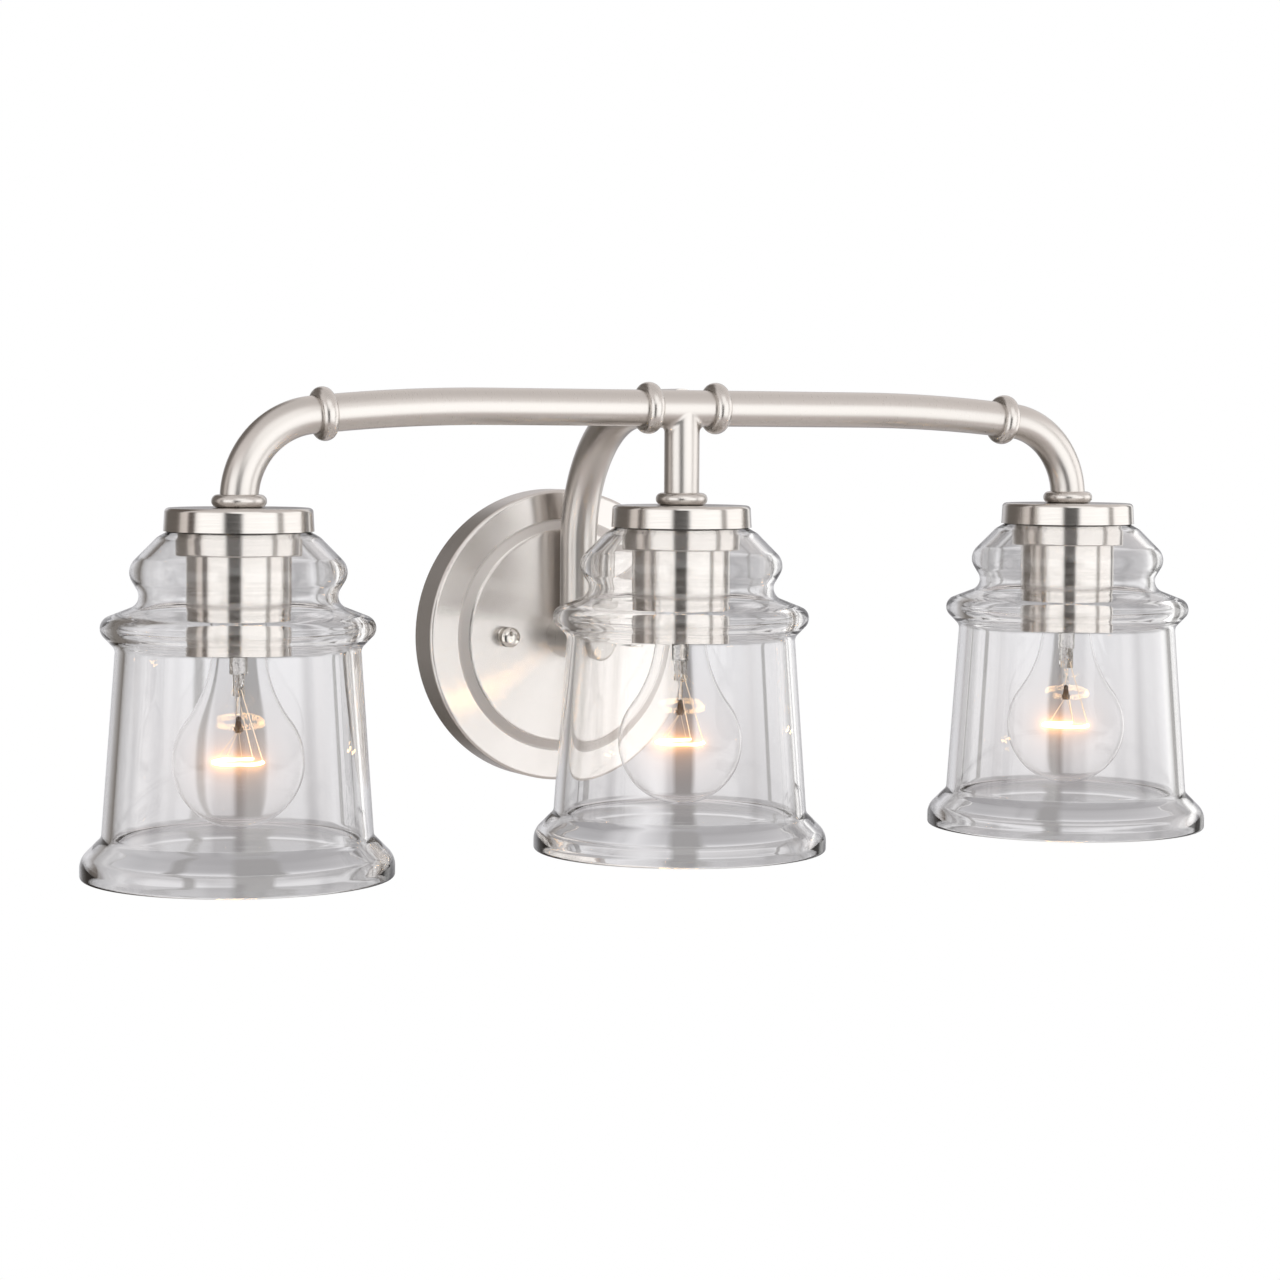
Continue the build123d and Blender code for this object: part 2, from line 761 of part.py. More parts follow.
for lamp, lamp_x in lamps.items():
    keep(make_stem_collar(lamp_x), f"stem_collar_{lamp}")
    keep(make_socket_cap(lamp_x), f"socket_cap_{lamp}")
    keep(make_socket_sleeve(lamp_x), f"socket_sleeve_{lamp}")
    keep(make_retaining_ring(lamp_x), f"retaining_ring_{lamp}")
    keep(make_glass_shade(lamp_x), f"glass_shade_{lamp}")
    keep(make_lampholder(lamp_x), f"lampholder_{lamp}")
    keep(make_screw_shell(lamp_x), f"screw_shell_{lamp}")
    keep(make_bulb_envelope(lamp_x), f"bulb_envelope_{lamp}")
    keep(make_bulb_base(lamp_x), f"bulb_base_{lamp}")
    keep(make_bulb_tip(lamp_x), f"bulb_tip_{lamp}")
    keep(make_bulb_mount(lamp_x), f"bulb_mount_{lamp}")
    keep(make_bulb_filament(lamp_x), f"bulb_filament_{lamp}")

# Small pieces that are alike in every lamp

with BuildPart() as socket_nipples:
    for lamp_x in lamps.values():
        with BuildSketch(lamp_level(lamp_x, nipple_foot)):
            Circle(nipple_radius)
            Circle(nipple_bore, mode=Mode.SUBTRACT)
        extrude(amount=nipple_top - nipple_foot)
keep(socket_nipples, "socket_nipples")

with BuildPart() as socket_lock_nuts:
    for lamp_x in lamps.values():
        with BuildSketch(lamp_level(lamp_x, nut_top - socket_nut_height)):
            RegularPolygon(socket_nut_flats / 2, side_count=6, major_radius=False)
            Circle(nipple_radius + slip_gap, mode=Mode.SUBTRACT)
        extrude(amount=socket_nut_height)
keep(socket_lock_nuts, "socket_lock_nuts")

with BuildPart() as centre_contacts:
    for lamp_x in lamps.values():
        tongue = tip_top + seat_gap
        with BuildSketch(lamp_section(lamp_x)):
            with BuildLine():
                Polyline(
                    (contact_reach, -holder_roof - contact_sheet / 2),
                    (contact_foot, -holder_roof - contact_sheet / 2),
                    (0, tongue + contact_sheet / 2),
                    (-contact_foot / 2, tongue + contact_sheet / 2),
                )
                offset(amount=contact_sheet / 2)
            make_face()
        extrude(amount=contact_width / 2, both=True)
keep(centre_contacts, "centre_contacts")
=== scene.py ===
"""Looks of a three-lamp vanity light bar in brushed nickel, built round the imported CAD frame."""

import logging
import math
from dataclasses import dataclass, field
from enum import Enum

import bmesh
import bpy
from mathutils import Matrix, Vector


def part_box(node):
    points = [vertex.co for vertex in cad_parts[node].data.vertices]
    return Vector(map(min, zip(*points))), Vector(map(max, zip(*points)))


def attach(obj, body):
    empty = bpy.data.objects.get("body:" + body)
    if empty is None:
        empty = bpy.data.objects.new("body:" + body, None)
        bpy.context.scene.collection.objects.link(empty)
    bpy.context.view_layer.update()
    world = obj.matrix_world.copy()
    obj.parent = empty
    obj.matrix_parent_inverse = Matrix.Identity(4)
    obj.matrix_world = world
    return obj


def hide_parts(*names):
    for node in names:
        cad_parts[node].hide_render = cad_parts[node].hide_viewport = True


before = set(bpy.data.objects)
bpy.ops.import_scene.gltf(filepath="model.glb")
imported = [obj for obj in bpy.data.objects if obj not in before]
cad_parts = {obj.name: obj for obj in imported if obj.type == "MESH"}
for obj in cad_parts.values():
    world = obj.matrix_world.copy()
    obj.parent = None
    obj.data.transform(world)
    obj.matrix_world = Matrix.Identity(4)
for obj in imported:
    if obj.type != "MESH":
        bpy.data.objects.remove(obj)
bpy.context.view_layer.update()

log = logging.getLogger("vanity_light_bar")

Colour = tuple[float, float, float]
Point = tuple[float, float, float]
Corner = tuple[float, float, float]
Span = tuple[float, float, float, float]
Outline = list[tuple[float, float]]
Material = bpy.types.Material
Mesh = bpy.types.Mesh
Node = bpy.types.Node
NodeTree = bpy.types.NodeTree
Socket = bpy.types.NodeSocket

SHADER = "Principled BSDF"
QUARTER_TURN = 0.25
FULL_TURN = 360.0
POLE_TO_POLE = 180.0
BACK_RIGHT: Span = (150.0, 158.0, 180.0, 180.0)
BACK_LEFT: Span = (-180.0, -180.0, -172.0, -164.0)
ON_AXIS = 1e-7
SHARP_EDGE = math.radians(32.0)
ARC_STEP = math.radians(5.0)


class Lamp(Enum):
    """The three lamps, by the names that the CAD nodes end in."""

    LEFT = "left"
    MIDDLE = "middle"
    RIGHT = "right"


class Side(Enum):
    """The two ends of the bar and of the mounting strap."""

    LEFT = "left"
    RIGHT = "right"


class Grain(Enum):
    """The axis that a brushed piece was turned about, as the Tangent node names it."""

    ROUND_X = "X"
    ROUND_Y = "Y"
    ROUND_Z = "Z"
    NONE = ""


class Graph:
    """Short calls for building one node tree."""

    def __init__(self, tree: NodeTree) -> None:
        """Start on a tree.

        Args:
            tree: The node tree to add to.
        """
        self.tree = tree

    def feed(self, node: Node, inputs: dict) -> None:
        """Give some of a node's inputs their values or links.

        Args:
            node: The node.
            inputs: Values or sockets, by the input's name or place.
        """
        for key, value in inputs.items():
            if isinstance(value, Socket):
                self.tree.links.new(value, node.inputs[key])
            else:
                node.inputs[key].default_value = value

    def add(self, kind: str, inputs: dict | None = None, **settings: object) -> Node:
        """Add a node.

        Args:
            kind: The node's type name.
            inputs: Values or sockets for its inputs, by name or place.
            **settings: Properties of the node itself.

        Returns:
            The new node.
        """
        node = self.tree.nodes.new(kind)
        for name, value in settings.items():
            setattr(node, name, value)
        self.feed(node, inputs or {})
        return node

    def math(self, operation: str, first: object, second: object = 0.0, third: object = 0.0) -> Socket:
        """Add a Math node.

        Args:
            operation: The sum that it does.
            first: Its first value or socket.
            second: Its second value or socket.
            third: Its third value or socket.

        Returns:
            The socket that holds the result.
        """
        return self.add("ShaderNodeMath", {0: first, 1: second, 2: third}, operation=operation).outputs[0]

    def vector(self, operation: str, inputs: dict, result: str = "Vector") -> Socket:
        """Add a Vector Math node.

        Args:
            operation: The sum that it does.
            inputs: Values or sockets for its inputs, by name or place.
            result: Which of its outputs is wanted.

        Returns:
            The socket that holds the result.
        """
        return self.add("ShaderNodeVectorMath", inputs, operation=operation).outputs[result]

    def clamp(self, value: Socket) -> Socket:
        """Keep a value between 0 and 1.

        Args:
            value: The value's socket.

        Returns:
            The socket that holds the result.
        """
        return self.math("MAXIMUM", self.math("MINIMUM", value, 1.0), 0.0)

    def near(self, value: Socket, centre: float, half: float, edge: float) -> Socket:
        """Mark where a value lies close to a centre.

        Args:
            value: The value's socket.
            centre: The middle of the marked range.
            half: How far the range is full to each side.
            edge: How far past that it fades out.

        Returns:
            A socket that is 1 in the range and 0 outside.
        """
        aside = self.math("ABSOLUTE", self.math("SUBTRACT", value, centre))
        return self.clamp(self.math("DIVIDE", self.math("SUBTRACT", half + edge, aside), edge))

    def mix(self, share: Socket, under: object, over: object, blend: str = "MIX") -> Socket:
        """Lay one colour over another.

        Args:
            share: How far the upper colour counts.
            under: The lower colour or its socket.
            over: The upper colour or its socket.
            blend: How the two are joined.

        Returns:
            The colour socket.
        """
        inputs = {0: share, 6: under, 7: over}
        return self.add("ShaderNodeMix", inputs, data_type="RGBA", blend_type=blend).outputs[2]

    def object_place(self) -> Socket:
        """Add the object's own coordinates.

        Returns:
            The vector socket.
        """
        return self.add("ShaderNodeTexCoord").outputs["Object"]

    def noise(self, place: Socket, scale: float, detail: float) -> Socket:
        """Add a noise pattern.

        Args:
            place: The coordinates that it is laid out in.
            scale: How fine it is.
            detail: How many finer layers it has.

        Returns:
            A socket that runs from 0 to 1.
        """
        return self.add("ShaderNodeTexNoise", {"Vector": place, "Scale": scale, "Detail": detail}).outputs[0]

    def ramp(self, factor: Socket, stops: list[tuple[float, Colour]]) -> Socket:
        """Add a colour ramp.

        Args:
            factor: The socket that it reads.
            stops: Places from 0 to 1, each with its colour.

        Returns:
            The colour socket.
        """
        node = self.add("ShaderNodeValToRGB", {0: factor})
        elements = node.color_ramp.elements
        while len(elements) < len(stops):
            elements.new(1.0)
        for element, (place, colour) in zip(elements, stops):
            element.position = place
            element.color = (*colour, 1.0)
        return node.outputs[0]


@dataclass(frozen=True)
class Finish:
    """A plain finish with a faint cloudy tone, which the others build on."""

    name: str
    colour: Colour
    roughness: float
    metallic: float = 0.0
    cloud_scale: float = 900.0
    cloud_detail: float = 4.0
    cloud_depth: float = 0.12

    def start(self) -> tuple[Material, Graph, Node]:
        """Make an empty material with one shader.

        Returns:
            The material, its graph and its shader node.
        """
        material = bpy.data.materials.new(self.name)
        material.use_nodes = True
        graph = Graph(material.node_tree)
        shader = material.node_tree.nodes[SHADER]
        graph.feed(
            shader,
            {"Base Color": (*self.colour, 1.0), "Roughness": self.roughness, "Metallic": self.metallic},
        )
        return material, graph, shader

    def shade_between(self, graph: Graph, shader: Node, pattern: Socket, depth: float) -> None:
        """Let a pattern darken and roughen the surface a little.

        Args:
            graph: The material's graph.
            shader: Its shader.
            pattern: A socket that runs from 0 to 1.
            depth: How far the pattern darkens the colour, from 0 to 1.
        """
        dark = tuple(channel * (1.0 - depth) for channel in self.colour)
        tone = graph.ramp(pattern, [(0.25, dark), (0.75, self.colour)])
        spread = graph.math("MULTIPLY_ADD", pattern, self.roughness * 0.5, self.roughness * 0.75)
        graph.feed(shader, {"Base Color": tone, "Roughness": spread})

    def material(self) -> Material:
        """Make the material.

        Returns:
            The finished material.
        """
        material, graph, shader = self.start()
        cloud = graph.noise(graph.object_place(), self.cloud_scale, self.cloud_detail)
        self.shade_between(graph, shader, cloud, self.cloud_depth)
        return material


@dataclass(frozen=True)
class PlainMetal(Finish):
    """A plated or bare metal, cloudier than the plain finish."""

    metallic: float = 1.0
    cloud_scale: float = 220.0
    cloud_detail: float = 6.0
    cloud_depth: float = 0.25


@dataclass(frozen=True)
class BrushedNickel(Finish):
    """Satin nickel with fine brush lines round a straight axis."""

    metallic: float = 1.0
    grain: Grain = Grain.NONE
    centre: Point = (0.0, 0.0, 0.0)
    anisotropy: float = 0.6
    lines: float = 1500.0
    line_detail: float = 4.0
    depth: float = 0.10
    relief: float = 0.06
    scratch: float = 0.0002

    def across(self, graph: Graph) -> Socket:
        """Work out a vector that changes fast across the brush lines and slowly along them.

        Args:
            graph: The material's graph.

        Returns:
            The vector socket.
        """
        local = graph.vector("SUBTRACT", {0: graph.object_place(), 1: self.centre})
        if self.grain is Grain.NONE:
            return graph.vector("SCALE", {0: local, "Scale": self.lines})
        parts = graph.add("ShaderNodeSeparateXYZ", {0: local}).outputs
        order = {Grain.ROUND_X: (1, 2, 0), Grain.ROUND_Y: (0, 2, 1), Grain.ROUND_Z: (0, 1, 2)}[self.grain]
        first, second, along = (parts[index] for index in order)
        squares = (graph.math("MULTIPLY", part, part) for part in (first, second))
        radius = graph.math("SQRT", graph.math("ADD", *squares))
        turn = graph.math("ABSOLUTE", graph.math("ARCTAN2", first, second))
        steps = ((radius, self.lines), (along, self.lines), (turn, 2.0))
        inputs = {index: graph.math("MULTIPLY", *step) for index, step in enumerate(steps)}
        return graph.add("ShaderNodeCombineXYZ", inputs).outputs[0]

    def material(self) -> Material:
        """Make the material.

        Returns:
            The finished material.
        """
        material, graph, shader = self.start()
        pattern = graph.noise(self.across(graph), 1.0, self.line_detail)
        self.shade_between(graph, shader, pattern, self.depth)
        bump = graph.add(
            "ShaderNodeBump", {"Strength": self.relief, "Distance": self.scratch, "Height": pattern}
        )
        graph.feed(shader, {"Normal": bump.outputs[0]})
        if self.grain is not Grain.NONE:
            way = graph.add("ShaderNodeTangent", direction_type="RADIAL", axis=self.grain.value).outputs[0]
            graph.feed(
                shader,
                {"Anisotropic": self.anisotropy, "Anisotropic Rotation": QUARTER_TURN, "Tangent": way},
            )
        return material


@dataclass(frozen=True)
class StampedNickel(BrushedNickel):
    """Brushed nickel with a pressed step, which the brush wheel leaves duller than the flats."""

    step: tuple[float, float] = (0.0, 1.0)
    edge: float = 0.0006
    dull: float = 0.58

    def material(self) -> Material:
        """Make the material.

        Returns:
            The finished material.
        """
        material = super().material()
        graph = Graph(material.node_tree)
        shader = material.node_tree.nodes[SHADER]
        inner, outer = self.step
        fine = graph.add("ShaderNodeSeparateXYZ", {0: self.across(graph)}).outputs[0]
        radius = graph.math("DIVIDE", fine, self.lines)
        share = graph.near(radius, (inner + outer) / 2, (outer - inner) / 2, self.edge)
        brushed = shader.inputs["Roughness"].links[0].from_socket
        rough = graph.math("MAXIMUM", brushed, graph.math("MULTIPLY", share, self.dull))
        left_over = graph.math("MULTIPLY_ADD", share, -self.anisotropy, self.anisotropy)
        graph.feed(shader, {"Roughness": rough, "Anisotropic": left_over})
        return material


@dataclass(frozen=True)
class ClearGlass(Finish):
    """Clear glass, with waves where it was drawn out by hand."""

    bend: float = 1.48
    shine: float = 0.5
    wave_scale: float = 420.0
    wave_height: float = 0.0

    def material(self) -> Material:
        """Make the material.

        Returns:
            The finished material.
        """
        material, graph, shader = self.start()
        graph.feed(
            shader, {"Transmission Weight": 1.0, "IOR": self.bend, "Specular IOR Level": self.shine}
        )
        if self.wave_height:
            wave = graph.noise(graph.object_place(), self.wave_scale, 1.0)
            bump = graph.add(
                "ShaderNodeBump", {"Strength": 1.0, "Distance": self.wave_height, "Height": wave}
            )
            graph.feed(shader, {"Normal": bump.outputs[0]})
        return material


@dataclass(frozen=True)
class LitWire(Finish):
    """Tungsten wire glowing white hot, dimmed where it is seen through glass or in a mirror. At a faint warm
    strength it is also a painted glow on wires that are no lamp, standing in for the filament's light on them.
    """

    metallic: float = 1.0
    glow: Colour = (1.0, 0.6, 0.25)
    strength: float = 320.0
    seen: float = 18.0

    def material(self) -> Material:
        """Make the material.

        Returns:
            The finished material.
        """
        material, graph, shader = self.start()
        by_glass = graph.add("ShaderNodeLightPath").outputs["Is Glossy Ray"]
        power = graph.math("MULTIPLY_ADD", by_glass, self.seen - self.strength, self.strength)
        graph.feed(shader, {"Emission Color": (*self.glow, 1.0), "Emission Strength": power})
        material.cycles.emission_sampling = "NONE"
        return material


def dress(node: str, material: Material) -> None:
    """Give a CAD node its material.

    Args:
        node: The node's name.
        material: What it is made of.
    """
    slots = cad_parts[node].data.materials
    slots.clear()
    slots.append(material)
    log.info("dressed %s in %s", node, material.name)


def new_piece(name: str, mesh: Mesh, material: Material | None = None) -> bpy.types.Object:
    """Put a mesh in the scene as a piece at the origin.

    Args:
        name: The piece's name.
        mesh: Its mesh, already in place.
        material: What it is made of, where the mesh has none.

    Returns:
        The new object.
    """
    if material is not None:
        mesh.materials.clear()
        mesh.materials.append(material)
    piece = bpy.data.objects.new(name, mesh)
    bpy.context.scene.collection.objects.link(piece)
    return piece


def seat(piece: bpy.types.Object, body: str, slot: str, *nodes: str) -> None:
    """Let a piece ride on a body, and stand for CAD nodes where it does.

    Args:
        piece: The finished piece.
        body: The body that it moves with.
        slot: A material slot's name; it is not used.
        *nodes: The CAD nodes that it stands for.
    """
    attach(piece, body)
    if nodes:
        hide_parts(*nodes)
    log.info("built %s with %d faces on %s", piece.name, len(piece.data.polygons), body)


def over_middle(low: Vector, high: Vector, height: float) -> Matrix:
    """Find the place on a box's upright middle line at a height.

    Args:
        low: The box's least corner.
        high: Its greatest corner.
        height: The place's height.

    Returns:
        The move to that place.
    """
    return Matrix.Translation(((low.x + high.x) / 2, (low.y + high.y) / 2, height))


def facing_out(low: Vector, high: Vector) -> Matrix:
    """Stand a turned piece on a box's side towards the wall, with its axis away from the wall.

    Args:
        low: The box's least corner.
        high: Its greatest corner.

    Returns:
        The move and turn.
    """
    middle = (low + high) / 2
    return Matrix.Translation((middle.x, high.y, middle.z)) @ Matrix.Rotation(math.pi / 2, 4, "X")


def turned_mesh(name: str, outline: Outline, place: Matrix, steps: int) -> Mesh:
    """Turn an outline about the local Z axis into a closed mesh.

    Args:
        name: The mesh's name.
        outline: Points as (radius, height), from one pole or edge round to the other.
        place: Where the local axes go.
        steps: Faces round the axis.

    Returns:
        The mesh, in place, smooth, with its faces pointing outwards.
    """
    shape = bmesh.new()
    rings = []
    for radius, height in outline:
        turns = [math.tau * i / steps for i in range(1 if radius < ON_AXIS else steps)]
        ring = [(radius * math.cos(turn), radius * math.sin(turn), height) for turn in turns]
        rings.append([shape.verts.new(point) for point in ring])
    closed = len(rings[0]) > 1 and len(rings[-1]) > 1
    pairs = list(zip(rings, rings[1:])) + ([(rings[-1], rings[0])] if closed else [])
    for lower, upper in pairs:
        for i in range(steps):
            around = ((lower, i), (lower, i + 1), (upper, i + 1), (upper, i))
            corners = list(dict.fromkeys(ring[step % len(ring)] for ring, step in around))
            if len(corners) > 2:
                shape.faces.new(corners).smooth = True
    bmesh.ops.recalc_face_normals(shape, faces=shape.faces)
    mesh = bpy.data.meshes.new(name)
    shape.to_mesh(mesh)
    shape.free()
    mesh.transform(place)
    mesh.set_sharp_from_angle(angle=SHARP_EDGE)
    return mesh


def rounded_outline(corners: list[Corner], pitch: float = 0.002) -> Outline:
    """Round an outline's corners and space points along its straights.

    Args:
        corners: Radius, height and bend of each corner; the two ends have no bend.
        pitch: The longest straight between two points.

    Returns:
        The outline's points as (radius, height).
    """
    points: list[Vector] = []
    for index, (radius, height, bend) in enumerate(corners):
        here = Vector((radius, height))
        row = [here]
        if bend > 0.0:
            before = (Vector(corners[index - 1][:2]) - here).normalized()
            after = (Vector(corners[index + 1][:2]) - here).normalized()
            half = before.angle(after) / 2
            middle = here + (before + after).normalized() * (bend / math.sin(half))
            first = here + before * (bend / math.tan(half)) - middle
            last = here + after * (bend / math.tan(half)) - middle
            begin = math.atan2(first.y, first.x)
            sweep = (math.atan2(last.y, last.x) - begin + math.pi) % math.tau - math.pi
            steps = max(3, math.ceil(abs(sweep) / ARC_STEP))
            turns = [begin + sweep * step / steps for step in range(steps + 1)]
            row = [middle + Vector((math.cos(turn), math.sin(turn))) * bend for turn in turns]
        if points:
            parts = math.ceil((row[0] - points[-1]).length / pitch)
            points += [points[-1].lerp(row[0], part / parts) for part in range(1, parts)]
        points += row
    return [(point.x, point.y) for point in points]


class NodeShop:
    """The geometry node trees, each made once and then used with different sizes."""

    turn_points: float = 9.0
    sags: float = 4.0

    def __init__(self) -> None:
        """Build the trees."""
        self.thread = self.make_thread()
        self.knurl = self.make_knurl()
        self.coil = self.make_coil()

    @staticmethod
    def begin(name: str, sizes: dict[str, float]) -> tuple[Graph, Node]:
        """Start a tree with named inputs.

        Args:
            name: The tree's name.
            sizes: Each input's first value; a whole number makes a counting input.

        Returns:
            The graph and its input node.
        """
        tree = bpy.data.node_groups.new(name, "GeometryNodeTree")
        tree.interface.new_socket("Geometry", in_out="INPUT", socket_type="NodeSocketGeometry")
        for label, value in sizes.items():
            kind = "NodeSocketInt" if isinstance(value, int) else "NodeSocketFloat"
            tree.interface.new_socket(label, in_out="INPUT", socket_type=kind).default_value = value
        tree.interface.new_socket("Material", in_out="INPUT", socket_type="NodeSocketMaterial")
        tree.interface.new_socket("Geometry", in_out="OUTPUT", socket_type="NodeSocketGeometry")
        graph = Graph(tree)
        return graph, graph.add("NodeGroupInput")

    @staticmethod
    def end(graph: Graph, source: Node, shapes: list[Socket], smooth: bool) -> None:
        """Finish a tree: join, realize, shade and give the material.

        Args:
            graph: The tree's graph.
            source: Its input node.
            shapes: The geometry sockets to join.
            smooth: Whether its faces are shaded smooth.
        """
        join = graph.add("GeometryNodeJoinGeometry")
        for shape in shapes:
            graph.feed(join, {0: shape})
        real = graph.add("GeometryNodeRealizeInstances", {0: join.outputs[0]})
        shaded = graph.add(
            "GeometryNodeSetShadeSmooth", {"Geometry": real.outputs[0], "Shade Smooth": smooth}
        )
        done = graph.add(
            "GeometryNodeSetMaterial", {"Geometry": shaded.outputs[0], "Material": source.outputs["Material"]}
        )
        graph.add("NodeGroupOutput", {0: done.outputs[0]})

    def make_thread(self) -> NodeTree:
        """A rolled screw thread: a spiral groove sunk into the outer skin of a turned body.

        Returns:
            The tree.
        """
        graph, source = self.begin(
            "rolled_thread", {"Pitch": 0.001, "Depth": 0.0003, "Core": 0.002, "From": 0.0, "To": 0.01}
        )
        size = source.outputs
        place = graph.add("GeometryNodeInputPosition").outputs[0]
        parts = graph.add("ShaderNodeSeparateXYZ", {0: place}).outputs
        flat = graph.add("ShaderNodeCombineXYZ", {0: parts[0], 1: parts[1]}).outputs[0]
        radius = graph.vector("LENGTH", {0: flat}, "Value")
        outward = graph.vector("NORMALIZE", {0: flat})
        rise = graph.math("MULTIPLY", graph.math("DIVIDE", parts[2], size["Pitch"]), math.tau)
        wave = graph.math("COSINE", graph.math("SUBTRACT", rise, graph.math("ARCTAN2", parts[1], parts[0])))
        groove = graph.math("MULTIPLY", graph.math("MULTIPLY_ADD", wave, 0.5, -0.5), size["Depth"])
        begun = graph.math("DIVIDE", graph.math("SUBTRACT", parts[2], size["From"]), size["Pitch"])
        left = graph.math("DIVIDE", graph.math("SUBTRACT", size["To"], parts[2]), size["Pitch"])
        ends = graph.clamp(graph.math("MINIMUM", begun, left))
        skin = graph.math("MULTIPLY", ends, graph.math("GREATER_THAN", radius, size["Core"]))
        shift = graph.vector("SCALE", {0: outward, "Scale": graph.math("MULTIPLY", groove, skin)})
        cut = graph.add("GeometryNodeSetPosition", {"Geometry": size["Geometry"], "Offset": shift})
        self.end(graph, source, [cut.outputs[0]], True)
        return graph.tree

    def make_knurl(self) -> NodeTree:
        """Straight knurling: three-sided ridges set round a nut's side.

        Returns:
            The tree.
        """
        graph, source = self.begin(
            "straight_knurl",
            {"Count": 60, "Radius": 0.005, "Ridge": 0.0003, "Length": 0.008, "Height": 0.004},
        )
        size = source.outputs
        circle = graph.add("GeometryNodeMeshCircle", {"Vertices": size["Count"], "Radius": size["Radius"]})
        prism = graph.add(
            "GeometryNodeMeshCylinder",
            {"Vertices": 3, "Side Segments": 1, "Radius": size["Ridge"], "Depth": size["Length"]},
        )
        place = graph.add("GeometryNodeInputPosition").outputs[0]
        outward = graph.add("FunctionNodeAlignRotationToVector", {"Vector": place}, axis="X")
        ridges = graph.add(
            "GeometryNodeInstanceOnPoints",
            {"Points": circle.outputs[0], "Instance": prism.outputs[0], "Rotation": outward.outputs[0]},
        )
        lift = graph.add("ShaderNodeCombineXYZ", {2: size["Height"]})
        raised = graph.add(
            "GeometryNodeTransform", {"Geometry": ridges.outputs[0], "Translation": lift.outputs[0]}
        )
        self.end(graph, source, [size["Geometry"], raised.outputs[0]], False)
        return graph.tree

    def make_coil(self) -> NodeTree:
        """A wire wound in a fine coil whose own line is an open ring.

        Returns:
            The tree.
        """
        graph, source = self.begin(
            "ring_coil",
            {"Ring": 0.0115, "Start": 0.6, "Sweep": 5.0, "Coil": 0.0006, "Turns": 60.0, "Wire": 0.00018,
             "Sag": 0.0004},
        )
        size = source.outputs
        arc = graph.add(
            "GeometryNodeCurveArc",
            {"Resolution": 16, "Radius": size["Ring"], "Start Angle": size["Start"],
             "Sweep Angle": size["Sweep"]},
        )
        points = graph.math("MULTIPLY", size["Turns"], self.turn_points)
        fine = graph.add("GeometryNodeResampleCurve", {"Curve": arc.outputs[0], "Count": points})
        along = graph.add("GeometryNodeSplineParameter").outputs["Factor"]
        turn = graph.math("MULTIPLY", graph.math("MULTIPLY", along, size["Turns"]), math.tau)
        outward = graph.math("MULTIPLY", graph.math("COSINE", turn), size["Coil"])
        upward = graph.math("MULTIPLY", graph.math("SINE", turn), size["Coil"])
        droop = graph.math("ABSOLUTE", graph.math("SINE", graph.math("MULTIPLY", along, math.pi * self.sags)))
        height = graph.math("SUBTRACT", upward, graph.math("MULTIPLY", droop, size["Sag"]))
        place = graph.add("GeometryNodeInputPosition").outputs[0]
        out = graph.vector("SCALE", {0: graph.vector("NORMALIZE", {0: place}), "Scale": outward})
        rise = graph.add("ShaderNodeCombineXYZ", {2: height}).outputs[0]
        shift = graph.vector("ADD", {0: out, 1: rise})
        wound = graph.add("GeometryNodeSetPosition", {"Geometry": fine.outputs[0], "Offset": shift})
        section = graph.add("GeometryNodeCurvePrimitiveCircle", {"Resolution": 5, "Radius": size["Wire"]})
        wire = graph.add(
            "GeometryNodeCurveToMesh",
            {"Curve": wound.outputs[0], "Profile Curve": section.outputs[0], "Fill Caps": True},
        )
        self.end(graph, source, [size["Geometry"], wire.outputs[0]], True)
        return graph.tree

    def run(
        self,
        tree: NodeTree,
        name: str,
        sizes: dict[str, float],
        material: Material,
        start: Mesh | None = None,
    ) -> Mesh:
        """Run a tree and keep its result as a plain mesh.

        Args:
            tree: The tree to run.
            name: The mesh's name.
            sizes: Values for its inputs.
            material: The material for its input.
            start: A mesh that the tree adds to.

        Returns:
            The plain mesh, in the tree's own axes.
        """
        holder = new_piece(name + "_work", start or bpy.data.meshes.new(name + "_start"))
        modifier = holder.modifiers.new("shape", "NODES")
        modifier.node_group = tree
        sockets = {item.name: item.identifier for item in tree.interface.items_tree if item.in_out == "INPUT"}
        for label, value in sizes.items():
            modifier[sockets[label]] = value
        modifier[sockets["Material"]] = material
        bpy.context.view_layer.update()
        graph = bpy.context.evaluated_depsgraph_get()
        mesh = bpy.data.meshes.new_from_object(holder.evaluated_get(graph))
        mesh.name = name
        holder.modifiers.remove(modifier)
        bpy.data.objects.remove(holder)
        return mesh


def wire_mesh(name: str, runs: list[list[Point]], radius: float) -> Mesh:
    """Make round wires along point rows.

    Args:
        name: The mesh's name.
        runs: One row of points for each wire.
        radius: The wire's radius.

    Returns:
        The mesh of all the wires.
    """
    curve = bpy.data.curves.new(name + "_line", "CURVE")
    curve.dimensions = "3D"
    curve.bevel_depth = radius
    curve.bevel_resolution = 2
    curve.use_fill_caps = True
    for run in runs:
        spline = curve.splines.new("POLY")
        spline.points.add(len(run) - 1)
        for point, place in zip(spline.points, run):
            point.co = (*place, 1.0)
    holder = bpy.data.objects.new(name + "_work", curve)
    bpy.context.scene.collection.objects.link(holder)
    graph = bpy.context.evaluated_depsgraph_get()
    mesh = bpy.data.meshes.new_from_object(holder.evaluated_get(graph))
    mesh.name = name
    bpy.data.objects.remove(holder)
    mesh.shade_smooth()
    return mesh


def joined_mesh(name: str, meshes: list[Mesh]) -> Mesh:
    """Join meshes that share one material into one.

    Args:
        name: The new mesh's name.
        meshes: The meshes to join.

    Returns:
        The joined mesh.
    """
    shape = bmesh.new()
    for mesh in meshes:
        shape.from_mesh(mesh)
    result = bpy.data.meshes.new(name)
    for material in meshes[0].materials:
        result.materials.append(material)
    shape.to_mesh(result)
    shape.free()
    return result


